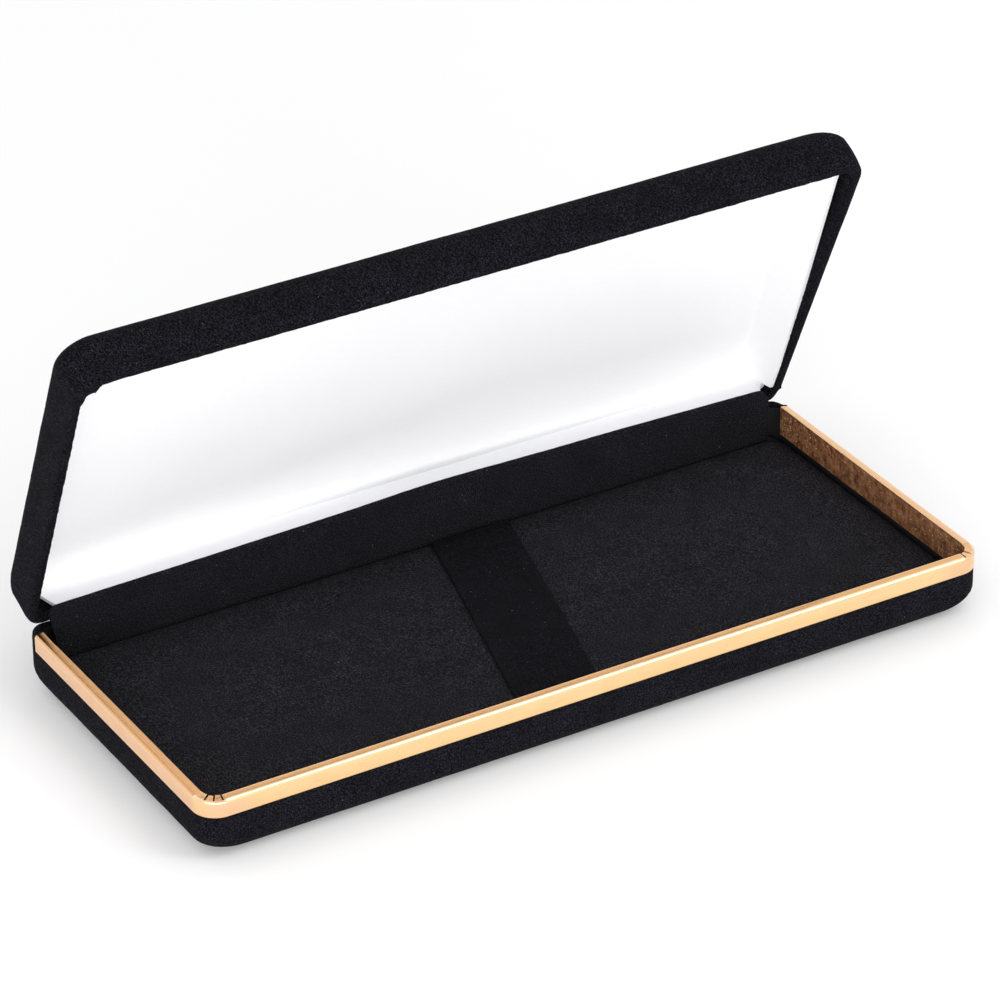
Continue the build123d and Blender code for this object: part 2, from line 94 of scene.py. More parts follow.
hinge = frame["joints"][0]
HINGE_POINT = Vector(hinge["pos_m"])
OPEN_TURN = -math.radians(hinge["range_deg"][1])
opening = (
    Matrix.Translation(HINGE_POINT)
    @ Matrix.Rotation(OPEN_TURN, 4, "X")
    @ Matrix.Translation(-HINGE_POINT)
)
print("the lid stands open by", round(math.degrees(-OPEN_TURN), 1), "degrees")

# %% [markdown]
# ## Helpers for meshes
# A mesh here is a list of points in millimetres and a list of faces. Smooth shading with sharp edges
# kept by angle suits both cloth and folded metal, so every piece is made by the same function.


# %% Mesh helper
def make_piece(name, points_mm, faces, material, sharp_degrees=60, thickness_mm=0.0, lid=False):
    """An object from points in millimetres. A sheet gets its thickness, and a lid piece is turned open."""
    mesh = bpy.data.meshes.new(name)
    mesh.from_pydata([Vector(p) * MM for p in points_mm], [], faces)
    if lid:
        mesh.transform(opening)
    tidy = bmesh.new()
    tidy.from_mesh(mesh)
    bmesh.ops.remove_doubles(tidy, verts=tidy.verts, dist=1e-6)
    loose = [v for v in tidy.verts if not v.link_faces]
    bmesh.ops.delete(tidy, geom=loose, context="VERTS")
    tidy.to_mesh(mesh)
    tidy.free()
    smooth(mesh)
    mesh.set_sharp_from_angle(angle=math.radians(sharp_degrees))
    mesh.materials.append(material)
    piece = link(name, mesh)
    if thickness_mm:
        solid = piece.modifiers.new("cloth thickness", "SOLIDIFY")
        solid.thickness = thickness_mm * MM
        solid.offset = -1.0
    print(name, "has", len(mesh.polygons), "faces")
    return piece


def ring_faces(ring_count, ring_size, keep=lambda ring, step: True):
    """Quads between neighbouring closed rings, ring by ring, where keep(ring, step) allows them."""
    faces = []
    for ring in range(ring_count - 1):
        for step in range(ring_size):
            if keep(ring, step):
                after = (step + 1) % ring_size
                low, high = ring * ring_size, (ring + 1) * ring_size
                faces.append((low + step, low + after, high + after, high + step))
    return faces


def clamp(value):
    """The value, kept between 0 and 1."""
    return min(1.0, max(0.0, value))


def arc_point(x, y, radius, degrees):
    """A point of a circle in plan."""
    angle = math.radians(degrees)
    return x + radius * math.cos(angle), y + radius * math.sin(angle)


def grid_faces(row_count, width, start=0, flip=False):
    """Quads between neighbouring rows of points."""
    faces = []
    for row in range(row_count - 1):
        for column in range(width - 1):
            a = start + row * width + column
            face = (a, a + 1, a + width + 1, a + width)
            faces.append((face[0], *face[:0:-1]) if flip else face)
    return faces


def moved_points(points, move):
    """The points, pushed away from the case's middle in plan by what move(...) says for each."""
    moved = []
    for index, (x, y, z) in enumerate(points):
        away = Vector((x / HALF_LENGTH, y / HALF_WIDTH, 0.0))
        size = away.length
        push = away / size * move(index, x, y, z, size) if size > 0.5 else Vector((0, 0, 0))
        moved.append((x + push.x, y + push.y, z))
    return moved


def smooth(mesh):
    """Shade a mesh without facets."""
    mesh.polygons.foreach_set("use_smooth", [True] * len(mesh.polygons))


def link(name, data):
    """A new object in the scene."""
    thing = bpy.data.objects.new(name, data)
    bpy.context.scene.collection.objects.link(thing)
    return thing


def face_outwards(piece):
    """Recalculate a closed piece's normals so that they all point out."""
    mesh = bmesh.new()
    mesh.from_mesh(piece.data)
    bmesh.ops.recalc_face_normals(mesh, faces=mesh.faces)
    mesh.to_mesh(piece.data)
    mesh.free()


print("a 3 by 4 grid of points has", len(grid_faces(3, 4)), "faces")

# %% [markdown]
# ## Helpers for colours and nodes
# Colours are written as sRGB hex and turned to linear in one place. Every material and every Geometry
# Nodes tree below is built from these few short functions, with its sizes in millimetres.


# %% Node helpers
def linear_color(hex_code):
    """An sRGB hex colour as linear red, green, blue and alpha."""
    channels = [int(hex_code[i : i + 2], 16) / 255 for i in (1, 3, 5)]
    linear = [c / 12.92 if c <= 0.04045 else ((c + 0.055) / 1.055) ** 2.4 for c in channels]
    return (*linear, 1.0)


def add_node(tree, kind, links=None, **settings):
    """Add a node with its settings; links gives its sockets a value or another node's output."""
    node = tree.nodes.new(kind)
    for name, value in settings.items():
        setattr(node, name, value)
    for socket, value in (links or {}).items():
        if isinstance(value, bpy.types.NodeSocket):
            tree.links.new(value, node.inputs[socket])
        else:
            node.inputs[socket].default_value = value
    return node


def new_material(name):
    """An empty node material and its tree."""
    material = bpy.data.materials.new(name)
    material.use_nodes = True
    material.node_tree.nodes.clear()
    return material, material.node_tree


def place_in(tree):
    """Object coordinates, which don't change when a piece is posed."""
    return add_node(tree, "ShaderNodeTexCoord").outputs["Object"]


def grain(tree, vector, size_mm, detail, roughness=0.5):
    """Noise whose spots have this size."""
    links = {"Vector": vector, "Scale": 1 / (size_mm * MM), "Detail": detail, "Roughness": roughness}
    return add_node(tree, "ShaderNodeTexNoise", links).outputs["Fac"]


def streaks(tree, vector, sizes_mm, detail, rotation=(0.0, 0.0, 0.0)):
    """Noise whose spots have a size of their own along each axis."""
    scale = [1 / (size * MM) for size in sizes_mm] + [1.0] * (3 - len(sizes_mm))
    drawn = add_node(tree, "ShaderNodeMapping", {"Vector": vector, "Rotation": rotation, "Scale": scale})
    links = {"Vector": drawn.outputs["Vector"], "Scale": 1.0, "Detail": detail}
    return add_node(tree, "ShaderNodeTexNoise", links).outputs["Fac"]


def map_range(tree, value, start, end, low=0.0, high=1.0):
    """The value, moved from one range to another and kept inside it."""
    links = {"Value": value, "From Min": start, "From Max": end, "To Min": low, "To Max": high}
    return add_node(tree, "ShaderNodeMapRange", links).outputs["Result"]


def blend(tree, factor, first, second, data_type="RGBA"):
    """A mix of two colours, each a hex code or a socket, or of two numbers."""
    ends = [linear_color(end) if isinstance(end, str) else end for end in (first, second)]
    links = {"Factor": factor, "A": ends[0], "B": ends[1]}
    return add_node(tree, "ShaderNodeMix", links, data_type=data_type).outputs["Result"]


def math_node(tree, operation, first, second):
    """One operation on two values."""
    return add_node(tree, "ShaderNodeMath", {0: first, 1: second}, operation=operation).outputs[0]


def shade(tree, color, bump_height, bump_strength, bump_mm, **surface):
    """Close a material with a bumped Principled surface; an underscore in a name stands for a space."""
    links = {"Height": bump_height, "Strength": bump_strength, "Distance": bump_mm * MM}
    bump = add_node(tree, "ShaderNodeBump", links)
    links = {"Base Color": color, "Normal": bump.outputs["Normal"]}
    links |= {name.replace("_", " "): value for name, value in surface.items()}
    shader = add_node(tree, "ShaderNodeBsdfPrincipled", links)
    add_node(tree, "ShaderNodeOutputMaterial", {"Surface": shader.outputs[0]})


print("middle grey is", round(linear_color("#808080")[0], 3), "in linear light")

# %% [markdown]
# ## Velour
# The case is covered in flocked velour: short black nylon pile on a thin woven back. Pile drinks light,
# so the cloth is nearly black face on and pale only where the eye skims along it. Sheen does that part.
# Real fibres are 0.02 mm thick, far below one pixel, so the pile is drawn as tufts of about 0.3 mm.


# %% Velour material
def velour(name, dark, light, sheen, grain_mm, combing):
    """Flocked nylon velour. grain_mm is one tuft's size, combing how far the pile lies in streaks."""
    material, tree = new_material(name)
    place = place_in(tree)
    tufts = grain(tree, place, grain_mm, 1.0, 0.7)
    combed = streaks(tree, place, (0.35, 1.6, 0.35), 1.0, rotation=(0.5, 0.6, 0.4))
    pile = blend(tree, combing, tufts, combed, "FLOAT")
    # The lighter tufts and combed streaks are painted glints of the pile, put into the base colour.
    glint = map_range(tree, pile, 0.44, 0.66)
    brushed = map_range(tree, grain(tree, place, 7, 4.0, 0.65), 0.3, 0.7, 0.55, 1.0)
    color = blend(tree, math_node(tree, "MULTIPLY", glint, brushed), dark, light)
    lint = map_range(tree, grain(tree, place, 0.42, 0.0), 0.84, 0.88, 0.0, 0.6)
    shade(
        tree,
        blend(tree, lint, color, "#6A6870"),
        pile,
        0.7,
        0.2,
        Roughness=0.95,
        Specular_IOR_Level=0.06,
        Sheen_Weight=sheen,
        Sheen_Roughness=0.35,
        Sheen_Tint=linear_color("#D0D0E0"),
    )
    return material


cover_velour = velour("black_flocked_velour", "#040406", "#2B2A32", 0.006, 0.30, 0.30)
pad_velour = velour("black_pad_velour", "#0E0E11", "#38373D", 0.006, 0.30, 0.12)
# The strap's velour is darker than the pad's: painted shade for its pile, which lies another way.
strap_velour = velour("black_strap_velour", "#060608", "#201E25", 0.005, 0.30, 0.12)
wall_velour = velour("black_hinge_cover_velour", "#0B0B0E", "#2C2B31", 0.005, 0.26, 0.12)
print("velour materials:", [m.name for m in (cover_velour, pad_velour, strap_velour, wall_velour)])

# %% [markdown]
# ## Satin
# The lining is white polyester satin: long floats of thread make it smooth with a soft gloss. The floats
# follow the cloth's own UV map, so they bend where the cloth bends.

# %% Satin material
satin, tree = new_material("white_polyester_satin")
weave_map = add_node(tree, "ShaderNodeUVMap", uv_map="cloth").outputs["UV"]
floats = streaks(tree, weave_map, (2.4, 0.35), 2.0)
shade(
    tree,
    blend(tree, floats, "#F5F5F8", "#FBFBFD"),
    floats,
    0.12,
    0.05,
    Roughness=0.5,
    Specular_IOR_Level=0.35,
    Sheen_Weight=0.08,
)
print("satin threads are drawn 0.35 mm wide, about three times their real width, so that they show")

# %% [markdown]
# ## Gold anodised aluminium
# Anodising leaves the metal's own shine under a dyed skin, so this is a full metal whose base colour is
# the dye. A colour ramp across the strip by its UV map adds a painted highlight on the rolled bend and
# inner edge and painted shade on the flat lip, and long stretched noise along it gives the rolling lines.

# %% Gold anodised aluminium
gold, tree = new_material("gold_anodised_aluminium")
strip_map = add_node(tree, "ShaderNodeUVMap", uv_map="strip").outputs["UV"]
flat_map = add_node(tree, "ShaderNodeSeparateXYZ", {"Vector": strip_map})
run_along, run_across = flat_map.outputs["X"], flat_map.outputs["Y"]
dye_and_painted_light = add_node(
    tree, "ShaderNodeValToRGB", {"Fac": map_range(tree, run_across, -2.1 * MM, 3.9 * MM)}
)
# Painted highlight on the inner edge (0 to 0.05), painted shade on the flat lip (0.08 to 0.25), painted
# highlight on the bend (0.31 to 0.37), then the face's own dye.
dye_and_painted_light_stops = [
    (0.0, "#F8D2A8"),
    (0.05, "#F6CF9F"),
    (0.08, "#E9B57D"),
    (0.25, "#E9B57D"),
    (0.31, "#FFEAC4"),
    (0.37, "#FFEAC4"),
    (0.43, "#FCD9A4"),
    (0.93, "#FBD69E"),
    (1.0, "#F5CA8E"),
]
ramp = dye_and_painted_light.color_ramp.elements
ramp[0].color, ramp[1].color = linear_color(dye_and_painted_light_stops[0][1]), linear_color(dye_and_painted_light_stops[-1][1])
for position, hex_code in dye_and_painted_light_stops[1:-1]:
    ramp.new(position).color = linear_color(hex_code)

front_run = (CASE_LENGTH - 2 * RIM_RADIUS) * MM
middle_run = (STRIP_END_Y + HALF_WIDTH - RIM_RADIUS) * MM + 0.5 * (front_run + math.pi * RIM_RADIUS * MM)
from_middle = math_node(tree, "SUBTRACT", run_along, middle_run)
# The sides take flat tones in place of the ramp: a painted reflection of the shaded floor beside them,
# pinker than the front, with painted shade on the left lip.
on_left = map_range(tree, from_middle, -front_run / 2, -front_run / 2 - 6 * MM)
on_right = map_range(tree, from_middle, front_run / 2, front_run / 2 + 6 * MM, 0.0, 0.85)
upright = map_range(tree, run_across, -0.2 * MM, 0.6 * MM)
left_dye_and_reflection = blend(tree, upright, "#E0AC78", "#FACDA4")
tone = blend(tree, on_left, dye_and_painted_light.outputs["Color"], left_dye_and_reflection)
tone = blend(tree, on_right, tone, "#F3C89E")
worn = map_range(tree, streaks(tree, strip_map, (7, 2.0), 4.0), 0.3, 0.7, 0.0, 0.16)
lines = streaks(tree, strip_map, (14, 0.3), 2.0)
shade(
    tree,
    blend(tree, worn, tone, "#D9A36C"),
    lines,
    0.04,
    0.02,
    Metallic=1.0,
    Roughness=map_range(tree, lines, 0.3, 0.7, 0.18, 0.30),
)
# The sides' pinker tone is a painted reflection of the shaded floor.
print("rolling lines are 0.3 mm apart, and the sides are dyed pinker than the front")

# %% [markdown]
# ## The strip under dried glue
# The same metal inside the tray is smeared with glue. Glue hides most of the shine, so this is half
# metal, browner, rougher, and mottled at the scale of a finger's dab.

# %% The glued inner leg of the strip
glued, tree = new_material("gold_aluminium_under_glue")
place = place_in(tree)
smears = grain(tree, place, 1.6, 5.0, 0.75)
tone = blend(tree, map_range(tree, smears, 0.36, 0.68), "#6A3A20", "#CE966A")
specks = map_range(tree, grain(tree, place, 0.7, 2.0), 0.66, 0.74, 0.0, 0.5)
shade(tree, blend(tree, specks, tone, "#DDB9A4"), smears, 0.4, 0.15, Metallic=0.55, Roughness=0.5)
print("glued metal:", glued.name)

# %% [markdown]
# ## Plain stuffs
# Moulded polystyrene, grey board, pressed steel, foam and wadding are seen at most through a gap. Each
# still has its own mottling and bump.

# %% Moulded, rolled and pressed stuffs that hardly show
def plain_stuff(name, dark, light, grain_mm, roughness, metallic=0.0, bump_mm=0.05):
    """A material with one scale of mottling, for pieces that are mostly covered."""
    material, tree = new_material(name)
    mottle = grain(tree, place_in(tree), grain_mm, 4.0)
    tone = blend(tree, mottle, dark, light)
    shade(tree, tone, mottle, 0.3, bump_mm, Metallic=metallic, Roughness=roughness)
    return material


moulding = plain_stuff("black_moulded_polystyrene", "#09090B", "#121215", 1.2, 0.6)
grey_board = plain_stuff("uncoated_grey_board", "#8C8474", "#A89F8D", 0.8, 0.9)
steel = plain_stuff("pressed_mild_steel", "#8B8B8D", "#9C9C9E", 0.6, 0.35, metallic=1.0, bump_mm=0.02)
foam = plain_stuff("grey_polyether_foam", "#3A3A3D", "#55555A", 0.5, 0.95, bump_mm=0.2)
dried_glue = plain_stuff("dried_hot_melt_glue", "#A5714C", "#DDB68F", 0.2, 0.4, bump_mm=0.02)
fleece = plain_stuff("white_polyester_wadding", "#E4E4E6", "#F6F6F8", 0.9, 0.95, bump_mm=0.3)

hinge_parts = ("base_leaf", "lid_leaf", "pin", "spring", "base_rivets", "lid_rivets")
node_materials = dict.fromkeys(("base_shell", "lid_shell"), moulding)
node_materials |= dict.fromkeys(("pad_board", "hinge_cover_card", "lining_card"), grey_board)
node_materials |= {f"hinge_{part}": steel for part in hinge_parts}
for node_name, material in node_materials.items():
    slots = frame["nodes"][node_name].data.materials
    slots.clear()
    slots.append(material)
print("materials on", len(node_materials), "CAD pieces")

# %% [markdown]
# ## The camera
# A long lens from the front left, a little above. The numbers come from matching the case's straight
# edges to the picture.

# %% Camera
camera_data = bpy.data.cameras.new("catalogue_camera")
camera_data.sensor_width = 36.0
camera_data.lens = 184.99
camera_data.clip_start = 0.05
camera_data.clip_end = 20.0
camera = link("catalogue_camera", camera_data)
camera.location = (-0.43549, -0.75024, 0.53496)
camera.rotation_euler = [math.radians(v) for v in (59.9499, 0.7679, -30.4953)]
bpy.context.scene.camera = camera
print("camera distance in mm:", round(camera.location.length / MM))

# %% [markdown]
# ## Outlines that every covered piece shares
# Both halves are rounded rectangles in plan whose far edge is rounded over like a quarter of an ellipse.
# Loops with the same count of points can be drawn at any inset, and join into a skin.


# %% Plan loops
def plan_loop(inset, radius, counts, back_inset=None):
    """(x, y) points round a rounded rectangle, anticlockwise from the left end of its front side."""
    long_steps, short_steps, corner_steps = counts
    front = -HALF_WIDTH + inset + radius
    back = HALF_WIDTH - (inset if back_inset is None else back_inset) - radius
    side = HALF_LENGTH - inset - radius
    corners = [(side, front, -90), (side, back, 0), (-side, back, 90), (-side, front, 180)]
    steps = [long_steps, short_steps, long_steps, short_steps]
    points = []
    for index, (x, y, start) in enumerate(corners):
        before_x, before_y, before_start = corners[index - 1]
        from_x, from_y = arc_point(before_x, before_y, radius, before_start + 90)
        to_x, to_y = arc_point(x, y, radius, start)
        shares = [step / steps[index] for step in range(steps[index])]
        points += [(from_x + (to_x - from_x) * t, from_y + (to_y - from_y) * t) for t in shares]
        turns = [start + 90 * step / corner_steps for step in range(corner_steps)]
        points += [arc_point(x, y, radius, turn) for turn in turns]
    return points


def edge_sections(height, inset, steps):
    """(inset, distance from the rim, plan radius) over the rounded edge and a little of the flat."""
    reach = EDGE_REACH - inset
    sections = []
    for step in range(steps + 1):
        angle = math.pi / 2 * step / steps
        share = math.sin(angle)
        radius = RIM_RADIUS - inset + (FLAT_RADIUS - RIM_RADIUS + inset) * share
        depth = height - EDGE_RISE * (1 - share)
        sections.append((inset + reach * (1 - math.cos(angle)), depth, radius))
    for more in (3.0, 8.0, 16.0, 28.0):
        sections.append((EDGE_REACH + more, height, max(FLAT_RADIUS - more, 1.5)))
    return sections


PIN_Y = HALF_WIDTH - 2.25
STOP_SLOPE = math.tan(-OPEN_TURN / 2)
REST_GAP = -0.02
CORNER_ROLL = 1.7


def back_drop(x, y):
    """How far either rim falls away behind the strip's end, till both meet when the case is open."""
    fall = (BACK_RIM_DROP - BACK_RIM_START) / (HALF_WIDTH - STRIP_END_Y)
    deep = BACK_RIM_START + fall * (y - STRIP_END_Y)
    level = REST_GAP if y < PIN_Y else REST_GAP + STOP_SLOPE * (y - PIN_Y)
    corner = clamp((abs(x) - 74.0) / 5.0)
    return deep + (min(level, deep) - deep) * corner


def worn_round(x, y, inset):
    """How much lower the rim lies this far inside its outline, where the cloth rolls over a back corner."""
    corner = clamp((abs(x) - 76.0) / 6.0) * clamp((y - STRIP_END_Y) / 1.2)
    past = CORNER_ROLL - (inset - 0.15)
    if corner == 0.0 or past <= 0.0:
        return 0.0
    return corner * (CORNER_ROLL - math.sqrt(CORNER_ROLL**2 - min(past, CORNER_ROLL) ** 2))


def soften(x, y, z, size_mm, amount_mm):
    """A small even swelling that cloth over a shell always has."""
    return noise.noise(Vector((x, y, z)) / size_mm) * amount_mm


LOOP_COUNTS = (330, 140, 18)


def level_ring(inset, radius, z, counts=LOOP_COUNTS, back_inset=None):
    """A plan loop at one height."""
    return [(x, y, z) for x, y in plan_loop(inset, radius, counts, back_inset)]


loop_size = 2 * (LOOP_COUNTS[0] + LOOP_COUNTS[1]) + 4 * LOOP_COUNTS[2]
print("each loop has", loop_size, "points")

# %% [markdown]
# ## The base's velour
# One piece of velour is glued round the tray, up to the strip, and over the back wall's edge. It is a
# skin of loops from the middle of the underside to the rim. Noise moves it by a tenth of a millimetre,
# because cloth over a moulding is never quite true.

# %% Base cover
COVER_INSET = 0.15
CLOTH = 0.45
strip_low = BASE_HEIGHT - 3.8
sections = list(reversed(edge_sections(BASE_HEIGHT, COVER_INSET, 9)))
rings = [level_ring(inset, radius, BASE_HEIGHT - depth) for inset, depth, radius in sections]
wall_radius = RIM_RADIUS - COVER_INSET
rings += [level_ring(COVER_INSET, wall_radius, z) for z in (6.2, 7.6, 8.8, strip_low - 0.25)]
outer_loop = plan_loop(COVER_INSET, wall_radius, LOOP_COUNTS)
under_loop = plan_loop(0.40, RIM_RADIUS - 0.40, LOOP_COUNTS)
wrap_insets = (0.28, 0.55, 0.95, 1.35, 1.62, 1.66)
wrap_depths = (0.06, 0.0, 0.0, 0.03, 0.25, 1.4)


is_back = [y >= STRIP_END_Y + 0.06 for x, y in outer_loop]


def split_ring(front_z, back_loop, back_height):
    """A ring that stays under the strip on three sides, and goes its own way at the back."""
    ring = [(x, y, front_z) for x, y in under_loop]
    for index, (x, y) in enumerate(back_loop):
        if is_back[index]:
            ring[index] = (x, y, back_height(x, y))
    return ring


for front_rise, lift in ((-0.18, 0.4), (0.8, 0.75), (1.8, 1.0)):

    def wall_height(x, y):
        top = BASE_HEIGHT - back_drop(x, y) - 0.25 - worn_round(x, y, COVER_INSET)
        return strip_low - 0.25 + (top - strip_low + 0.25) * lift

    rings.append(split_ring(strip_low + front_rise, outer_loop, wall_height))
for inset, depth in zip(wrap_insets, wrap_depths):

    def wrap_height(x, y):
        return BASE_HEIGHT - back_drop(x, y) - worn_round(x, y, inset) - depth

    wrap_loop = plan_loop(inset, max(RIM_RADIUS - inset, 2.0), LOOP_COUNTS)
    rings.append(split_ring(strip_low + 2.6, wrap_loop, wrap_height))
points = [p for ring in rings for p in ring]
first_wrap = len(rings) - len(wrap_insets)


def keep_base_face(ring, step):
    """The wall has all its faces; the wrap over its edge has them only at the back."""
    both_back = is_back[step] and is_back[(step + 1) % loop_size]
    return ring < first_wrap - 1 or both_back


faces = ring_faces(len(rings), loop_size, keep_base_face)
faces.append(tuple(reversed(range(loop_size))))


def base_swell(index, x, y, z, size):
    """Small waves, except on the flat underside and under the strip."""
    held = z < 0.05 or z > strip_low - 0.3 and y < STRIP_END_Y + 1
    return 0.0 if held else soften(x, y, z, 7.0, 0.07) + soften(x, y, z, 1.1, 0.035)


points = moved_points(points, base_swell)
base_cover = make_piece("base_velour_cover", points, faces, cover_velour, thickness_mm=CLOTH)

# %% [markdown]
# ## The lid's velour
# The lid's cover is made the same way. On the real lid the cloth is pulled round the rim and glued down
# inside, and in the front left corner the spare cloth bunches into a little web. The inner edge is
# slightly ragged, since it was cut by hand.

# %% Lid cover
TURN_IN_INSET = 2.07
sections = list(reversed(edge_sections(LID_HEIGHT, COVER_INSET, 9)))
rings = [level_ring(inset, radius, LID_RIM_Z + depth) for inset, depth, radius in sections]
rings += [level_ring(COVER_INSET, wall_radius, LID_RIM_Z + depth) for depth in (6.0, 4.4, 2.8)]


def rim_level(x, y):
    """The height of the lid's rim, which climbs away from the base behind the strip's end."""
    if y < STRIP_END_Y:
        return LID_RIM_Z
    return LID_RIM_Z - BACK_RIM_START + back_drop(x, y)


rim_steps = [
    (0.15, 2.2),
    (0.16, 0.75),
    (0.22, 0.35),
    (0.36, 0.1),
    (0.62, 0.0),
    (1.1, 0.0),
    (1.62, 0.03),
    (1.92, 0.16),
    (2.04, 0.42),
    (TURN_IN_INSET, 0.9),
    (TURN_IN_INSET, 2.2),
    (TURN_IN_INSET, 4.6),
    (TURN_IN_INSET, 7.0),
]
GATHER_X, GATHER_Y, GATHER_CUT = -HALF_LENGTH + 2.0, -HALF_WIDTH + 2.0, 6.0
FRONT_SWELL = 0.45
for number, (inset, depth) in enumerate(rim_steps):
    loop = plan_loop(inset, max(RIM_RADIUS - inset, 2.6), LOOP_COUNTS)
    ring = []
    for x, y in loop:
        z = rim_level(x, y) + depth + worn_round(x, y, inset) * (depth < 1.5)
        ragged = soften(x, y, 3.0 * number, 0.9, 0.14) if number >= 6 else 0.0
        if y < -30.0:
            y += FRONT_SWELL * min(1.0, inset / 1.6) * (1.0 if depth < 2.0 else 0.3)
        if number >= 5:
            reach = 0.35 + 0.65 * min(1.0, (number - 5) / 3)
            across = (x - GATHER_X) / 1.35 + (y - GATHER_Y)
            lack = (GATHER_CUT * reach - across) / 1.68
            if lack > 0 and x < 0 and y < 0:
                fold = 1 + 0.14 * math.sin(1.3 * (x - y) + 0.4 * number)
                x += lack * 0.8 * fold
                y += lack * 0.6 * fold
                z += 0.25 * lack * (1 if number < 9 else 0)
        ring.append((x - ragged * math.copysign(1, x), y - ragged * math.copysign(1, y), z))
    rings.append(ring)
points = [p for ring in rings for p in ring]
faces = [tuple(reversed(f)) for f in ring_faces(len(rings), loop_size)]
faces.append(tuple(range(loop_size)))
outer_points = (len(rings) - 8) * loop_size


def lid_swell(index, x, y, z, size):
    """Small waves, and a fuller front corner on the right; the flat outer face stays flat."""
    if z > LID_RIM_Z + LID_HEIGHT - 0.05:
        return 0.0
    side_height = clamp((z - LID_RIM_Z) / LID_HEIGHT)
    fuller = 0.7 * math.sin(math.pi * side_height) + 0.2
    fuller *= clamp((size - 1.0) / 0.25) * (y < 0 < x and index < outer_points)
    return soften(x, y, z, 8.0, 0.08) + soften(x, y, z, 1.2, 0.04) + fuller


points = moved_points(points, lid_swell)
lid_cover = make_piece("lid_velour_cover", points, faces, cover_velour, thickness_mm=CLOTH, lid=True)

# %% [markdown]
# ## The gold strip
# A rolled channel of thin metal is pushed down over the rim on three sides: an outer leg, a narrow lip
# and a longer inner leg. It follows a path, so Geometry Nodes sweep its section along the rim's outline.
# To get round the front corners the maker snips the lip, so each slit is a marked point with its turn
# and its width.

# %% Path, section and slit marks of the strip
path_points = [(-HALF_LENGTH, STRIP_END_Y), (-HALF_LENGTH, -HALF_WIDTH + RIM_RADIUS)]
CORNER_STEPS = 20
CORNER_X, CORNER_Y = HALF_LENGTH - RIM_RADIUS, -HALF_WIDTH + RIM_RADIUS
for centre_x, start in ((-CORNER_X, 180), (CORNER_X, 270)):
    turns = [start + 90 * step / CORNER_STEPS for step in range(1, CORNER_STEPS + 1)]
    path_points += [arc_point(centre_x, CORNER_Y, RIM_RADIUS, turn) for turn in turns]
    if start == 180:
        path_points.append((CORNER_X, -HALF_WIDTH))
path_points.append((HALF_LENGTH, STRIP_END_Y))

STRIP_METAL = 0.3
LIP = 2.03
LIP_SLOPE = 0.2
FACE_HEIGHT = 3.8
LEG_HEIGHT = 6.5
OUTER_BEND = 0.75
INNER_BEND = 0.22


def bend(centre_x, centre_y, radius, start, end, steps=6):
    """Points round one bend of the strip's section."""
    turns = [start + (end - start) * step / steps for step in range(steps + 1)]
    return [arc_point(centre_x, centre_y, radius, turn) for turn in turns]


tilt = math.degrees(math.atan2(LIP_SLOPE, LIP - 0.3))
section_points = [(0.0, -FACE_HEIGHT), (0.0, -2.4)]
section_points += bend(OUTER_BEND, -LIP_SLOPE - OUTER_BEND + 0.03, OUTER_BEND, 180, 90 + tilt, 8)
section_points += bend(LIP - INNER_BEND, -INNER_BEND, INNER_BEND, 90 + tilt, 0, 4)
section_points += [(LIP, -3.5), (LIP, -LEG_HEIGHT)]
section_points += [(LIP - STRIP_METAL, -LEG_HEIGHT), (LIP - STRIP_METAL, -3.5)]
section_points += [(LIP - STRIP_METAL, -STRIP_METAL - 0.05), (OUTER_BEND, -LIP_SLOPE - STRIP_METAL)]
section_points += [(STRIP_METAL, -LIP_SLOPE - OUTER_BEND), (STRIP_METAL, -FACE_HEIGHT)]


def add_attribute(mesh, name, values):
    """Store one number for each point, where Geometry Nodes can read it."""
    mesh.attributes.new(name, "FLOAT", "POINT").data.foreach_set("value", values)


def poly_curve(name, points, closed):
    """A curve object through points in metres, in straight runs."""
    data = bpy.data.curves.new(name, "CURVE")
    data.dimensions = "3D"
    spline = data.splines.new("POLY")
    spline.points.add(len(points) - 1)
    for point, place in zip(spline.points, points):
        point.co = (*place, 1.0)
    spline.use_cyclic_u = closed
    return link(name, data)


strip_path = poly_curve("strip_path", [(x * MM, y * MM, BASE_HEIGHT * MM) for x, y in path_points], False)
strip_section = poly_curve("strip_section", [(-x * MM, -y * MM, 0.0) for x, y in section_points], True)

slit_marks = [(-CORNER_X, turn, width) for turn, width in ((216, 1.0), (238, 0.95), (260, 1.0))]
slit_marks += [(CORNER_X, turn, width) for turn, width in ((279, 1.0), (301, 0.35), (321, 0.45))]
marks = bpy.data.meshes.new("slit_marks")
mark_places = []
for centre_x, turn, width in slit_marks:
    x, y = arc_point(centre_x, CORNER_Y, RIM_RADIUS - 0.35 - 1.6, turn)
    mark_places.append((x * MM, y * MM, BASE_HEIGHT * MM))
marks.from_pydata(mark_places, [], [])
add_attribute(marks, "turn", [math.radians(turn) for _, turn, _ in slit_marks])
add_attribute(marks, "open", [width for _, _, width in slit_marks])
slit_object = link("slit_marks", marks)
print("strip path has", len(path_points), "points and", len(slit_marks), "slits")

# %% [markdown]
# ## The tree that sweeps and slits
# Curve to Mesh makes the channel, a box on each mark is cut out of it, and the result is painted. Its
# sizes are named inputs, so a thinner strip or a wider slit is one number.

# %% Geometry Nodes for the strip
def new_tree(name, **inputs):
    """A Geometry Nodes tree, its inputs as output sockets, and their identifiers."""
    tree = bpy.data.node_groups.new(name, "GeometryNodeTree")
    identifiers = {}
    for label, kind in {"Geometry": "Geometry", **inputs}.items():
        label = label.replace("_", " ")
        socket = tree.interface.new_socket(label, in_out="INPUT", socket_type="NodeSocket" + kind)
        identifiers[label] = socket.identifier
    tree.interface.new_socket("Geometry", in_out="OUTPUT", socket_type="NodeSocketGeometry")
    return tree, add_node(tree, "NodeGroupInput").outputs, identifiers


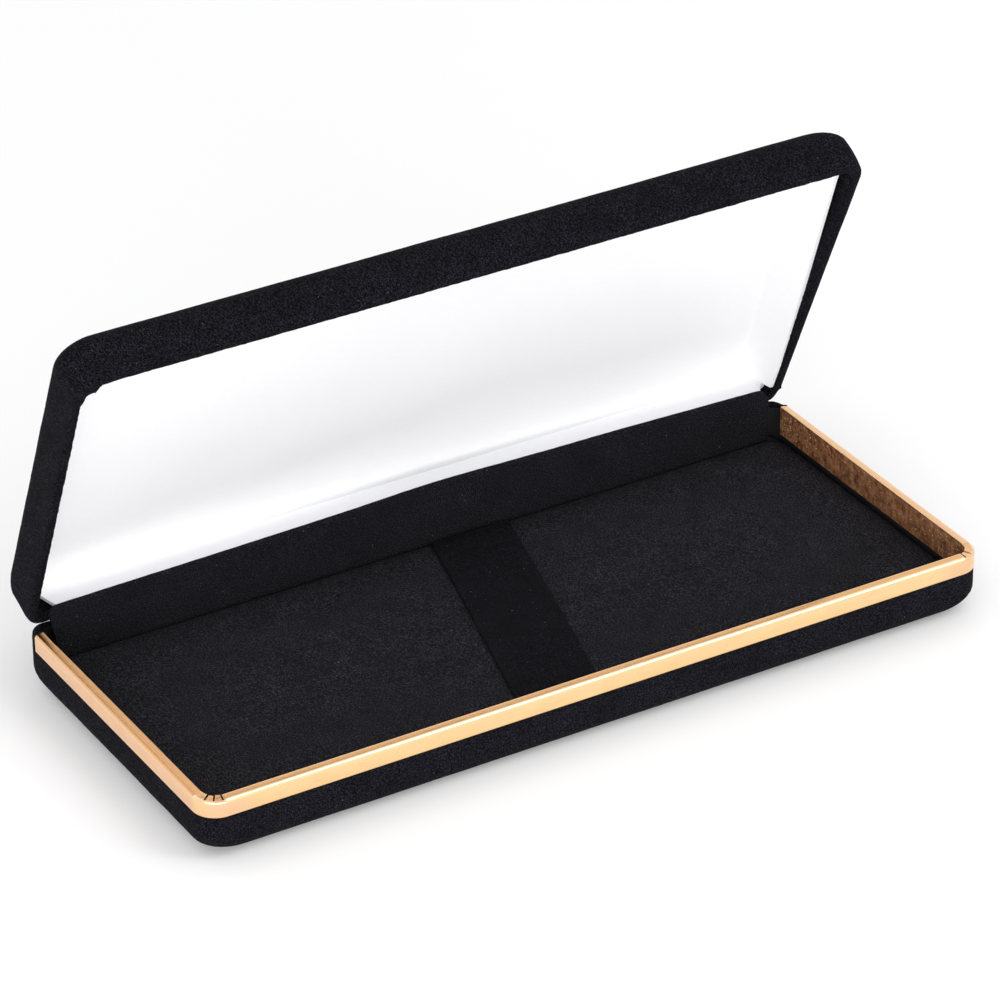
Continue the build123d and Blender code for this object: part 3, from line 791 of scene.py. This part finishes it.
def finish_tree(tree, geometry, material):
    """End a tree: make instances real and paint the result."""
    real = add_node(tree, "GeometryNodeRealizeInstances", {"Geometry": geometry})
    links = {"Geometry": real.outputs[0], "Material": material}
    painted = add_node(tree, "GeometryNodeSetMaterial", links)
    add_node(tree, "NodeGroupOutput", {0: painted.outputs[0]})


def attribute(tree, name):
    """The value that each point carries under this name."""
    return add_node(tree, "GeometryNodeInputNamedAttribute", {"Name": name}).outputs["Attribute"]


def instances(tree, points, instance, rotation, scale):
    """A copy of the instance on every point."""
    links = {"Points": points, "Instance": instance, "Rotation": rotation, "Scale": scale}
    return add_node(tree, "GeometryNodeInstanceOnPoints", links).outputs["Instances"]


def run_tree(thing, tree, identifiers, **values):
    """Give an object the tree and return the plain mesh that it makes."""
    modifier = thing.modifiers.new(tree.name, "NODES")
    modifier.node_group = tree
    for label, value in values.items():
        modifier[identifiers[label.replace("_", " ")]] = value
    bpy.context.view_layer.update()
    depsgraph = bpy.context.evaluated_depsgraph_get()
    return bpy.data.meshes.new_from_object(thing.evaluated_get(depsgraph))


tree, given, identifiers = new_tree(
    "swept rim strip",
    Section="Object",
    Slit_Marks="Object",
    Slit_Width="Float",
    Slit_Length="Float",
    Slit_Depth="Float",
    Metal="Material",
)
section = add_node(tree, "GeometryNodeObjectInfo", {"Object": given["Section"]}).outputs["Geometry"]
level = add_node(tree, "GeometryNodeSetCurveNormal", {"Curve": given["Geometry"]}, mode="Z_UP").outputs[0]
links = {"Curve": level, "Profile Curve": section, "Fill Caps": True}
swept = add_node(tree, "GeometryNodeCurveToMesh", links)
mark_mesh = add_node(tree, "GeometryNodeObjectInfo", {"Object": given["Slit Marks"]}).outputs["Geometry"]
mark_points = add_node(tree, "GeometryNodeMeshToPoints", {"Mesh": mark_mesh}).outputs[0]
own_width = math_node(tree, "MULTIPLY", attribute(tree, "open"), given["Slit Width"])
links = {"X": given["Slit Length"], "Y": own_width, "Z": given["Slit Depth"]}
box_size = add_node(tree, "ShaderNodeCombineXYZ", links).outputs[0]
turned = add_node(tree, "ShaderNodeCombineXYZ", {"Z": attribute(tree, "turn")}).outputs[0]
rotation = add_node(tree, "FunctionNodeEulerToRotation", {0: turned}).outputs[0]
unit_box = add_node(tree, "GeometryNodeMeshCube", {"Size": (1.0, 1.0, 1.0)}).outputs["Mesh"]
boxes = instances(tree, mark_points, unit_box, rotation, box_size)
real_boxes = add_node(tree, "GeometryNodeRealizeInstances", {"Geometry": boxes}).outputs[0]
links = {"Mesh 1": swept.outputs["Mesh"], "Mesh 2": real_boxes}
cut = add_node(tree, "GeometryNodeMeshBoolean", links, operation="DIFFERENCE", solver="EXACT")
finish_tree(tree, cut.outputs["Mesh"], given["Metal"])

strip_mesh = run_tree(
    strip_path,
    tree,
    identifiers,
    Section=strip_section,
    Slit_Marks=slit_object,
    Slit_Width=0.36 * MM,
    Slit_Length=3.2 * MM,
    Slit_Depth=14 * MM,
    Metal=gold,
)
rim_strip = link("gold_rim_strip", strip_mesh)
for helper in (strip_path, strip_section, slit_object):
    bpy.data.objects.remove(helper)
print("strip's size in mm:", [round(v / MM, 2) for v in rim_strip.dimensions])

# %% [markdown]
# ## Finishing the strip
# Each tongue of metal between two slits springs back a little by its own amount, which is what makes
# the corners glitter. The UV map runs along the strip, so the rolling lines go round the corners.


# %% Tongues, UV map and the glued leg
def strip_place(x, y):
    """Distance along the strip and inwards from its outer face, in millimetres, of a point in plan."""
    side, arc, front = STRIP_END_Y - CORNER_Y, RIM_RADIUS * math.pi / 2, 2 * CORNER_X
    if y > CORNER_Y:
        run = STRIP_END_Y - y if x < 0 else side + 2 * arc + front + y - CORNER_Y
        return run, HALF_LENGTH - abs(x), None
    if abs(x) < CORNER_X:
        return side + arc + x + CORNER_X, y + HALF_WIDTH, None
    angle = math.degrees(math.atan2(y - CORNER_Y, abs(x) - CORNER_X)) % 360
    inwards = RIM_RADIUS - math.hypot(y - CORNER_Y, abs(x) - CORNER_X)
    share = (angle - 270) / 90
    if x < 0:
        return side + arc * share, inwards, 180 + 90 * (1 - share)
    return side + arc + front + arc * (1 - share), inwards, angle


left_lifts, right_lifts = (0.05, -0.07, 0.06, 0.0), (0.0, -0.16, 0.14, -0.10)
for vertex in strip_mesh.vertices:
    x, y, z = (v / MM for v in vertex.co)
    run, inwards, angle = strip_place(x, y)
    if angle is not None and z > BASE_HEIGHT - 1.2:
        tongue = sum(angle > turn for centre_x, turn, _ in slit_marks if centre_x * x > 0)
        share = clamp((inwards - 0.25) / 1.4)
        vertex.co.z += (left_lifts if x < 0 else right_lifts)[tongue] * share * MM
strip_mesh.update()

strip_mesh.materials.clear()
for material in (gold, glued):
    strip_mesh.materials.append(material)
uv = strip_mesh.uv_layers.new(name="strip")
for polygon in strip_mesh.polygons:
    centre = polygon.center / MM
    run, inwards, angle = strip_place(centre.x, centre.y)
    is_leg = inwards > LIP - 0.2 and centre.z < BASE_HEIGHT - 0.3 and abs(polygon.normal.z) < 0.4
    polygon.material_index = 1 if is_leg else 0
    for loop_index in polygon.loop_indices:
        corner = strip_mesh.vertices[strip_mesh.loops[loop_index].vertex_index].co / MM
        along, across, _ = strip_place(corner.x, corner.y)
        uv.data[loop_index].uv = (along * MM, (BASE_HEIGHT - corner.z - across) * MM)
smooth(strip_mesh)
strip_mesh.set_sharp_from_angle(angle=math.radians(32))
face_outwards(rim_strip)
print("strip materials:", [m.name for m in strip_mesh.materials])

# %% [markdown]
# ## Beads of glue on the strip's inner leg
# The strip is held with hot glue, which dried in hundreds of tiny beads near the corners. They repeat
# with no order, so Geometry Nodes scatter them over the leg's face: an attribute says where there is
# much glue, and a fixed seed keeps the scatter the same in every run.

# %% The face that the glue lies on
LEG_INSET = LIP + 0.005
leg_rows = [BASE_HEIGHT - 0.7 - 5.6 * k / 4 for k in range(5)]
leg_runs = []
for side in (-1, 1):
    wall_x = side * (HALF_LENGTH - LEG_INSET)
    leg_runs.append([(wall_x, -32.5 + 64.5 * k / 40) for k in range(41)][::side])
leg_runs.append([(82.0 - 164.0 * k / 80, -HALF_WIDTH + LEG_INSET) for k in range(81)][::-1])
leg_points, leg_faces, glue_amounts = [], [], []
for line in leg_runs:
    leg_faces += grid_faces(len(line), len(leg_rows), start=len(leg_points), flip=True)
    for k, (x, y) in enumerate(line):
        from_end = min(k, len(line) - 1 - k) / (len(line) - 1)
        leg_points += [Vector((x, y, z)) * MM for z in leg_rows]
        glue_amounts += [0.12 + 0.88 * max(0.0, 1 - from_end / 0.2)] * len(leg_rows)
leg_mesh = bpy.data.meshes.new("leg_face")
leg_mesh.from_pydata(leg_points, [], leg_faces)
add_attribute(leg_mesh, "glue", glue_amounts)
leg_face = link("leg_face", leg_mesh)
print("the leg's face has", len(leg_faces), "faces")

# %% [markdown]
# ## The tree that scatters the beads
# Points are spread by density, each gets a small flattened ball of its own size, and the balls are made
# real and painted.

# %% Geometry Nodes for the beads
tree, given, identifiers = new_tree(
    "scattered glue beads",
    Beads_Per_Square_Metre="Float",
    Bead_Radius="Float",
    Seed="Int",
    Glue="Material",
)
density = math_node(tree, "MULTIPLY", attribute(tree, "glue"), given["Beads Per Square Metre"])
links = {"Mesh": given["Geometry"], "Density": density, "Seed": given["Seed"]}
spread = add_node(tree, "GeometryNodeDistributePointsOnFaces", links).outputs
ball = add_node(tree, "GeometryNodeMeshIcoSphere", {"Radius": 1.0, "Subdivisions": 2}).outputs["Mesh"]
links = {"Min": 0.35, "Max": 1.0, "Seed": given["Seed"]}
uneven = add_node(tree, "FunctionNodeRandomValue", links, data_type="FLOAT").outputs["Value"]
radius = math_node(tree, "MULTIPLY", uneven, given["Bead Radius"])
links = {"X": radius, "Y": radius, "Z": math_node(tree, "MULTIPLY", radius, 0.5)}
bead_size = add_node(tree, "ShaderNodeCombineXYZ", links).outputs[0]
finish_tree(tree, instances(tree, spread["Points"], ball, spread["Rotation"], bead_size), given["Glue"])

bead_mesh = run_tree(
    leg_face,
    tree,
    identifiers,
    Beads_Per_Square_Metre=1.6e6,
    Bead_Radius=0.17 * MM,
    Seed=7,
    Glue=dried_glue,
)
bead_mesh.materials.clear()
bead_mesh.materials.append(dried_glue)
smooth(bead_mesh)
glue_beads = link("glue_beads", bead_mesh)
bpy.data.objects.remove(leg_face)
print("glue beads:", len(bead_mesh.polygons) // 80)

# %% [markdown]
# ## The pad
# A card platform carries thin foam wrapped in velour. The pad fills the tray and is only a little
# crowned. It starts as a closed block of loops that is slightly too small.

# %% Pad block
PAD_INSET = 2.0
PAD_BACK_INSET = 5.2
PAD_EDGE_Z = BASE_HEIGHT - 6.8
PAD_LOW_Z = 3.2
PAD_ROUND = 0.7
pad_counts = (130, 54, 8)


def pad_block(top_z, crown_height, shrink):
    """The pad as a closed block of loops, its upper edge rounded."""
    sections = [(shrink, PAD_LOW_Z), (shrink, PAD_LOW_Z + 1.2), (shrink, top_z - PAD_ROUND)]
    for angle in (20, 40, 60, 80):
        turn = math.radians(angle)
        rounded = PAD_ROUND * (1 - math.cos(turn)), PAD_ROUND * math.sin(turn)
        sections.append((shrink + rounded[0], top_z - PAD_ROUND + rounded[1]))
    for inset in (1.5, 2.4, 4.0, 6.0, 8.5, 11.5, 15.0, 19.0, 23.5, 28.0, 31.5):
        crown = 1 - ((33.0 - inset) / 33.0) ** 2
        sections.append((shrink + inset, top_z + crown_height * crown))
    rings = []
    for inset, z in sections:
        radius, back_inset = max(3.2 - inset, 0.6), PAD_BACK_INSET + inset
        rings.append(level_ring(PAD_INSET + inset, radius, z, pad_counts, back_inset))
    size = len(rings[0])
    points = [p for ring in rings for p in ring]
    faces = ring_faces(len(rings), size)
    faces.append(tuple(reversed(range(size))))
    faces.append(tuple((len(rings) - 1) * size + step for step in range(size)))
    return points, faces


SWELL_CAP = 0.3
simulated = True
shrink = SWELL_CAP if simulated else 0.0
pad_points, pad_faces = pad_block(PAD_EDGE_Z - shrink * 0.4, 0.5, shrink)
pen_pad = make_piece("pen_pad", pad_points, pad_faces, pad_velour)

# %% [markdown]
# ## Stuffing the pad
# The foam pushes the velour out evenly, which is what a cloth simulation with pressure does. The block
# is remeshed into even faces, swollen for 20 frames, and no point may move further than a small cap,
# because foam under stretched velour stays nearly flat. The underside lies on its board, so it stays.


# %% Cloth simulation of the pad
def swollen(piece, voxel_mm, pressure, cap_mm, floor_mm):
    """Swell a closed piece by a short cloth simulation, with a cap on how far a point moves."""
    remesh = piece.modifiers.new("even faces", "REMESH")
    remesh.mode = "VOXEL"
    remesh.voxel_size = voxel_mm * MM
    depsgraph = bpy.context.evaluated_depsgraph_get()
    even = bpy.data.meshes.new_from_object(piece.evaluated_get(depsgraph))
    piece.modifiers.remove(remesh)
    piece.data = even
    before = [v.co.copy() for v in even.vertices]
    stuffing = piece.modifiers.new("stuffing", "CLOTH")
    stuffing.settings.use_pressure = True
    stuffing.settings.uniform_pressure_force = pressure
    stuffing.settings.effector_weights.gravity = 0.0
    stuffing.point_cache.frame_start, stuffing.point_cache.frame_end = 1, 20
    for frame_number in range(1, 21):
        bpy.context.scene.frame_set(frame_number)
    depsgraph = bpy.context.evaluated_depsgraph_get()
    after = [v.co.copy() for v in piece.evaluated_get(depsgraph).data.vertices]
    piece.modifiers.remove(stuffing)
    bpy.context.scene.frame_set(1)
    for vertex, start, end in zip(even.vertices, before, after):
        move = end - start
        if move.length > cap_mm * MM:
            move *= cap_mm * MM / move.length
        rests = start.z < floor_mm * MM
        vertex.co = start if rests else start + move
    smooth(even)
    return sum((v.co - b).length for v, b in zip(even.vertices, before)) / len(before)


if simulated:
    moved_by = swollen(pen_pad, 1.2, 0.5, SWELL_CAP, PAD_LOW_Z + 0.5)
    print("the pad swelled by", round(moved_by / MM, 2), "mm on average")
for vertex in pen_pad.data.vertices:
    x, y, z = (v / MM for v in vertex.co)
    if z > PAD_EDGE_Z - 1.4:
        vertex.co.z += (soften(x, y, 11.0, 16.0, 0.10) + soften(x, y, 5.0, 4.0, 0.03)) * MM
pen_pad.data.update()
pad_tree = BVHTree.FromPolygons(
    [v.co for v in pen_pad.data.vertices], [tuple(p.vertices) for p in pen_pad.data.polygons]
)
print("pad has", len(pen_pad.data.polygons), "faces")


def pad_top(x, y):
    """The height of the pad's upper face, in millimetres."""
    hit = pad_tree.ray_cast(Vector((x, y, 30.0)) * MM, Vector((0, 0, -1)))[0]
    return PAD_EDGE_Z - 1.1 if hit is None else hit.z / MM


# %% [markdown]
# ## The strap
# A velour band lies across the pad on a slant and goes down behind it at both ends. It is a flat strip
# of cloth, so it is drawn straight on the pad's surface; a simulation would only blur its cut edges.

# %% Strap
STRAP_WIDTH = 17.5
STRAP_ANGLE = math.radians(14.6)
STRAP_THICK = 0.42
across_steps, along_steps = 36, 150
pad_back_y = HALF_WIDTH - PAD_BACK_INSET
pad_front_y = -HALF_WIDTH + PAD_INSET
strap_middle = (pad_back_y + pad_front_y) / 2
points = []
for row in range(along_steps + 1):
    share = row / along_steps
    y = pad_front_y - 0.1 + (pad_back_y - pad_front_y + 0.25) * share
    for column in range(across_steps + 1):
        offset = (column / across_steps - 0.5) * STRAP_WIDTH / math.cos(STRAP_ANGLE)
        x = 1.0 + (y - strap_middle) * math.tan(STRAP_ANGLE) + offset
        inside = min(y - pad_front_y, pad_back_y - y)
        edge = min(column, across_steps - column)
        lift = 0.14 * math.exp(-edge / 1.2) * (0.6 + 0.8 * share if column < across_steps / 2 else 0.4)
        z = pad_top(x, y) + STRAP_THICK + 0.04 + lift
        if inside < 0:
            z = PAD_EDGE_Z - 1.4
        points.append((x, y, z))
faces = grid_faces(along_steps + 1, across_steps + 1)
pen_strap = make_piece("slanted_pen_strap", points, faces, strap_velour, thickness_mm=STRAP_THICK)

# %% [markdown]
# ## The cover strip in front of the hinge
# A card strip wrapped in velour stands along the back of the tray and hides the hinge. Its upper edge
# bows up towards the middle, so the wrap's section is drawn column by column along the case.

# %% Hinge cover
COVER_FRONT_Y = HALF_WIDTH - 5.0
COVER_BACK_Y = COVER_FRONT_Y + 1.1
WRAP_THICK = 0.27
WRAP_LOW = 4.0
bow_x = (-82.5, -60.0, -40.0, -20.0, 0.0, 20.0, 45.0, 65.0, 83.0)
bow_z = (4.35, 4.75, 5.05, 5.45, 6.1, 5.85, 5.35, 4.9, 4.4)
bow_slope = np.gradient(bow_z, bow_x)
COVER_END_X = 82.5
COVER_END_RADIUS = 1.8
columns = 400
points = []
half_thick = (COVER_BACK_Y - COVER_FRONT_Y) / 2
middle_y = (COVER_FRONT_Y + COVER_BACK_Y) / 2
section_steps = 8


def bow_height(x):
    """How far the cover stands above the base's rim: a smooth line through the measured heights."""
    i = min(max(int(np.searchsorted(bow_x, x)) - 1, 0), len(bow_x) - 2)
    run = bow_x[i + 1] - bow_x[i]
    t = (x - bow_x[i]) / run
    start = (1 + 2 * t) * (1 - t) ** 2 * bow_z[i] + t * (1 - t) ** 2 * run * bow_slope[i]
    end = t * t * (3 - 2 * t) * bow_z[i + 1] + t * t * (t - 1) * run * bow_slope[i + 1]
    return float(start + end)


def wrap_line(half, top):
    """The wrap's section from the foot of its front, over the top and down its back."""
    line = [(middle_y - half, z) for z in (WRAP_LOW, 9.0, top - 3.0, top - 1.2)]
    for step in range(section_steps + 1):
        angle = math.pi - math.pi * step / section_steps
        line.append((middle_y + half * math.cos(angle), top - half_thick + half * math.sin(angle)))
    return line + [(middle_y + half, z) for z in (top - 1.2, 9.0, WRAP_LOW)]


for column in range(columns + 1):
    x = -COVER_END_X + 165.4 * column / columns
    top = BASE_HEIGHT + bow_height(x) + 0.1 + soften(x, 3.0, 0.0, 1.2, 0.04)
    past = abs(x) - (COVER_END_X - COVER_END_RADIUS)
    if past > 0:
        top -= COVER_END_RADIUS - math.sqrt(max(0.0, COVER_END_RADIUS**2 - past**2))
    lean = soften(x, 8.0, 2.0, 22.0, 0.18)
    outline = wrap_line(half_thick, top) + wrap_line(half_thick - WRAP_THICK, top)[::-1]
    for y, z in outline:
        share = max(0.0, (z - BASE_HEIGHT) / 6)
        flare = max(0.0, (-x - 60.0) / 22.5) * (z - 9.5) * 0.16
        points.append((x - flare, y + lean * share, z))
size = len(outline)
faces = ring_faces(columns + 1, size)
for start in (0, columns * size):
    end = start + size - 1
    faces += [(start + k, start + k + 1, end - k - 1, end - k) for k in range(size // 2 - 1)]
hinge_cover = make_piece("hinge_cover_velour_wrap", points, faces, wall_velour)
face_outwards(hinge_cover)

# %% [markdown]
# ## The satin lining
# Satin is stretched over wadded card: a wide panel with four flaps that climb the lid's walls. Along
# the hinge the flap bulges out in a long soft roll, with a shallow valley between it and the panel, and
# at the right the flap meets the panel in a fold. One grid of points follows all of it.

# %% Satin surface
SATIN_THICK = 0.22
PANEL_DEPTH = 8.75
ROLL_DEPTH = 6.6
HINGE_WALL_Y = HALF_WIDTH - 3.75
LEFT_FOLD_X = 80.6
SIDE_WALL_X, FRONT_WALL_Y = 85.45, 36.25
valley_x = [-84, -80, -36, 15, 65, 84]
valley_far = [5.0, 5.7, 11.0, 17.0, 13.0, 9.0]


def right_fold(y):
    """Where the right flap leaves the panel: nearer the wall at the hinge end."""
    return 79.5 + (min(y, 30.0) + HALF_WIDTH - 17.0) / 56.6 * 2.3


def panel_depth(x, y):
    """How deep the satin lies in the lid, counted from the rim."""
    to_hinge = HINGE_WALL_Y - y
    valley = float(np.interp(x, valley_x, valley_far))
    crown = max(0.0, 1 - (x / 80.0) ** 2) * max(0.0, 1 - ((y + 4) / 34.0) ** 2)
    depth = PANEL_DEPTH - 0.45 * crown
    depth += soften(x, y, 40.0, 24.0, 0.22) + soften(x, y, 9.0, 9.0, 0.06)
    if to_hinge < valley:
        share = max(0.0, to_hinge / valley)
        return ROLL_DEPTH + (depth + 0.15 - ROLL_DEPTH) * math.sin(share * math.pi / 2) ** 0.9
    past = (to_hinge - valley) / 5.0
    return depth + 0.15 * math.exp(-past * past)


FLAP_STEPS = 8
FLAP_EDGE_DEPTH = 1.95
FRONT_FOLD_Y = -HALF_WIDTH + 5.9
flap_shares = [(k + 1) / FLAP_STEPS for k in range(FLAP_STEPS)] + [2.0, 3.0]


def stations(first, last, count):
    """Where the grid's lines lie: a flap from its wrapped edge inwards, the panel, and a flap again."""
    lines = [(first, share) for share in reversed(flap_shares)]
    lines += [("panel", share) for share in np.linspace(0.0, 1.0, count)]
    return lines + [(last, share) for share in flap_shares]


columns, rows = stations("left", "right", 150), stations("front", "hinge", 76)


def flap_point(share, fold, edge_depth, low_depth, edge_at_rim):
    """(distance outwards, depth) on a flap: up to its edge, then over the card and a little down."""
    edge = edge_at_rim - 0.4285 * max(edge_depth, 1.6)
    if share <= 1:
        puff = 0.25 * math.sin(math.pi * share)
        return fold + (edge - fold) * share - puff, low_depth + (edge_depth - low_depth) * share
    if share <= 2:
        return edge + 0.8, edge_depth - 0.05
    return edge + 0.85, edge_depth + 0.9


def hinge_edge(x):
    """The depth at which the satin on the hinge side ends: deeper at both ends, cut on a slant."""
    if x < 0:
        return min(5.6, 1.4 + max(0.0, -x - 80.3) * 1.69)
    return min(3.0, 1.4 + max(0.0, x - 83.2) * 1.6)


points = []
for row_kind, row in rows:
    if row_kind == "panel":
        base_y = FRONT_FOLD_Y + (HINGE_WALL_Y - FRONT_FOLD_Y) * row
    else:
        base_y = FRONT_FOLD_Y if row_kind == "front" else HINGE_WALL_Y
    left, right = -LEFT_FOLD_X, right_fold(base_y)
    for column_kind, column in columns:
        x = {"left": left, "right": right}.get(column_kind, left + (right - left) * column)
        y = base_y
        low_depth = panel_depth(x, base_y)
        depth = low_depth
        if column_kind != "panel":
            from_front = base_y + HALF_WIDTH
            edge_depth = 3.45 - 0.0492 * (from_front - 8.4) if column_kind == "right" else FLAP_EDGE_DEPTH
            edge_depth = min(3.45, max(0.7, edge_depth))
            if column_kind == "left" and base_y > 30.3:
                edge_depth = 5.6
            if column_kind == "right" and base_y > 33.2:
                edge_depth = 2.9
            reach, depth = flap_point(column, abs(x), edge_depth, low_depth, SIDE_WALL_X)
            x = math.copysign(reach, x)
        if row_kind == "front":
            reach, climb = flap_point(row, -FRONT_FOLD_Y, FLAP_EDGE_DEPTH, low_depth, FRONT_WALL_Y)
            y, depth = -reach, min(depth, climb)
        elif row_kind == "hinge":
            edge = hinge_edge(x)
            climb = ROLL_DEPTH - (ROLL_DEPTH - edge) * row
            if row > 1:
                climb = edge - 0.02 if row <= 2 else edge + 0.8
            y = HINGE_WALL_Y + (0.0 if row <= 1 else 0.85 if row <= 2 else 0.95)
            depth = min(depth, climb)
        points.append((x, y, LID_RIM_Z + depth))
faces = grid_faces(len(rows), len(columns), flip=True)
satin_lining = make_piece("satin_lining", points, faces, satin, 28, SATIN_THICK, lid=True)
uv = satin_lining.data.uv_layers.new(name="cloth")
open_back = opening.inverted()
for loop in satin_lining.data.loops:
    place = open_back @ satin_lining.data.vertices[loop.vertex_index].co
    uv.data[loop.index].uv = (place.x, place.y + 0.5 * place.z)

# %% [markdown]
# ## What lies under the satin and the pad's velour
# Wadding and foam are never seen, but they are there on the real case. Each is a plain rounded pad,
# closed and crowned like the CAD solid that it stands for.


# %% Wadding and foam
def crowned_pad(name, low, high, crown, edge, material, lid=False, upside_down=False):
    """A closed pad between two corners, with one face crowned."""
    across, along = 41, 19
    layer = across * along
    points = []
    for side in (0, 1):
        for row in range(along):
            for column in range(across):
                u, v = 2 * column / (across - 1) - 1, 2 * row / (along - 1) - 1
                x = (low[0] + high[0]) / 2 + u * (high[0] - low[0]) / 2
                y = (low[1] + high[1]) / 2 + v * (high[1] - low[1]) / 2
                rise = crown * (1 - u * u) * (1 - v * v) - edge * max(abs(u) ** 12, abs(v) ** 8)
                z = (low, high)[side][2]
                if side == (0 if upside_down else 1):
                    z += -rise if upside_down else rise
                points.append((x, y, z))
    faces = grid_faces(along, across, flip=True) + grid_faces(along, across, start=layer)
    rim = list(range(across)) + [row * across + across - 1 for row in range(1, along)]
    rim += [layer - 2 - column for column in range(across - 1)]
    rim += [row * across for row in range(along - 2, 0, -1)]
    faces += [(a, b, layer + b, layer + a) for a, b in zip(rim, rim[1:] + rim[:1])]
    piece = make_piece(name, points, faces, material, 50, lid=lid)
    face_outwards(piece)
    return piece


low, high = (-79.5, -31.0, LID_RIM_Z + 9.6), (79.5, 18.0, LID_RIM_Z + 10.3)
wadding = crowned_pad("lining_wadding_pad", low, high, 0.1, 0.0, fleece, lid=True, upside_down=True)
foam_sheet = crowned_pad("pad_foam_sheet", (-83.6, -34.6, 4.5), (83.6, 31.8, 5.9), 0.2, 0.3, foam)

# %% [markdown]
# ## Floor
# The case stands on white paper. The paper adds a little light of its own to the camera only, which
# whitens it and still leaves the case's shadow.

# %% Floor
floor_mesh = bpy.data.meshes.new("studio_floor")
reach = 6.0
corners = [(-reach, -reach, 0), (reach, -reach, 0), (reach, reach, 0), (-reach, reach, 0)]
floor_mesh.from_pydata(corners, [], [(0, 1, 2, 3)])
floor = link("studio_floor", floor_mesh)
floor.location.z = -0.0002


def seen_directly(tree):
    """1 where the camera or a mirror looks straight at a surface, and 0 for light that falls on others."""
    rays = add_node(tree, "ShaderNodeLightPath").outputs
    return math_node(tree, "MAXIMUM", rays["Is Camera Ray"], rays["Is Glossy Ray"])


floor_paint, tree = new_material("matt_white_paper")
paper = add_node(tree, "ShaderNodeBsdfDiffuse", {"Color": linear_color("#F2F2F3")}).outputs[0]
glow_strength = math_node(tree, "MULTIPLY", seen_directly(tree), 0.13)
links = {"Color": (1, 1, 1, 1), "Strength": glow_strength}
glow = add_node(tree, "ShaderNodeEmission", links).outputs[0]
both = add_node(tree, "ShaderNodeAddShader", {0: paper, 1: glow}).outputs[0]
add_node(tree, "ShaderNodeOutputMaterial", {"Surface": both})
floor_mesh.materials.append(floor_paint)
floor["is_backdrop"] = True
print("floor at", round(floor.location.z / MM, 1), "mm")

# %% [markdown]
# ## Light
# Nearly all light comes from an even white sky, as in a light tent. One narrow lamp makes the bright
# line on the strip's bend, and two wide low lamps lift the satin, which leans forward and away from the
# sky.

# %% World and lamps
world = bpy.data.worlds.new("white_studio")
bpy.context.scene.world = world
world.use_nodes = True
tree = world.node_tree
tree.nodes.clear()
strength = map_range(tree, seen_directly(tree), 0.0, 1.0, 0.84, 1.0)
sky = add_node(tree, "ShaderNodeBackground", {"Color": (1, 1, 1, 1), "Strength": strength})
add_node(tree, "ShaderNodeOutputWorld", {"Surface": sky.outputs[0]})


def soft_lamp(name, place, target, width, height, watts):
    """A soft lamp that looks at a point."""
    data = bpy.data.lights.new(name, "AREA")
    data.shape = "RECTANGLE"
    data.size, data.size_y = width, height
    data.energy = watts
    lamp = link(name, data)
    lamp.location = place
    lamp.rotation_euler = (Vector(target) - Vector(place)).to_track_quat("-Z", "Y").to_euler()


soft_lamp("strip_softbox", (0.50, -0.62, 0.86), (0.0, 0.0, 0.02), 0.36, 0.80, 2.6)
soft_lamp("front_softbox", (-0.45, -1.40, 0.22), (0.0, 0.0, 0.04), 1.4, 0.40, 11.6)
soft_lamp("left_softbox", (-1.25, -0.85, 0.42), (0.0, 0.0, 0.04), 0.9, 0.8, 4.6)
bpy.context.scene.view_settings.view_transform = "Standard"

# %% [markdown]
# ## Hand every piece to its half
# Each piece says which half it moves with, which CAD solid it stands for and what finish it takes. Lid
# pieces turn with the lid, so the case can be shut without gaps.

# %% Bodies, CAD solids and finishes
for piece, body, node_names, slot in (
    (base_cover, "base", ["base_velour"], "black_velour"),
    (rim_strip, "base", ["rim_strip"], "gold_strip"),
    (pen_pad, "base", ["pad_velour"], "black_velour"),
    (foam_sheet, "base", ["pad_foam"], "foam"),
    (pen_strap, "base", ["pen_strap"], "black_velour"),
    (hinge_cover, "base", ["hinge_cover_velour"], "black_velour"),
    (lid_cover, "lid", ["lid_velour"], "black_velour"),
    (satin_lining, "lid", ["lining_satin"], "white_satin"),
    (wadding, "lid", ["lining_wadding"], "white_wadding"),
):
    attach(piece, body)
    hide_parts(*node_names)
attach(glue_beads, "base")


# %% [markdown]
# ## Finish
# The box of the dressed case is printed beside the CAD's box, so that the two can be compared.

# %% Print the two boxes and finish
seen_low, seen_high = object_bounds()
boxes = {"cad": [list(cad_low), list(cad_high)], "visual": [list(seen_low), list(seen_high)]}
print("boxes in mm:", {k: [[round(1000 * c, 1) for c in p] for p in v] for k, v in boxes.items()})
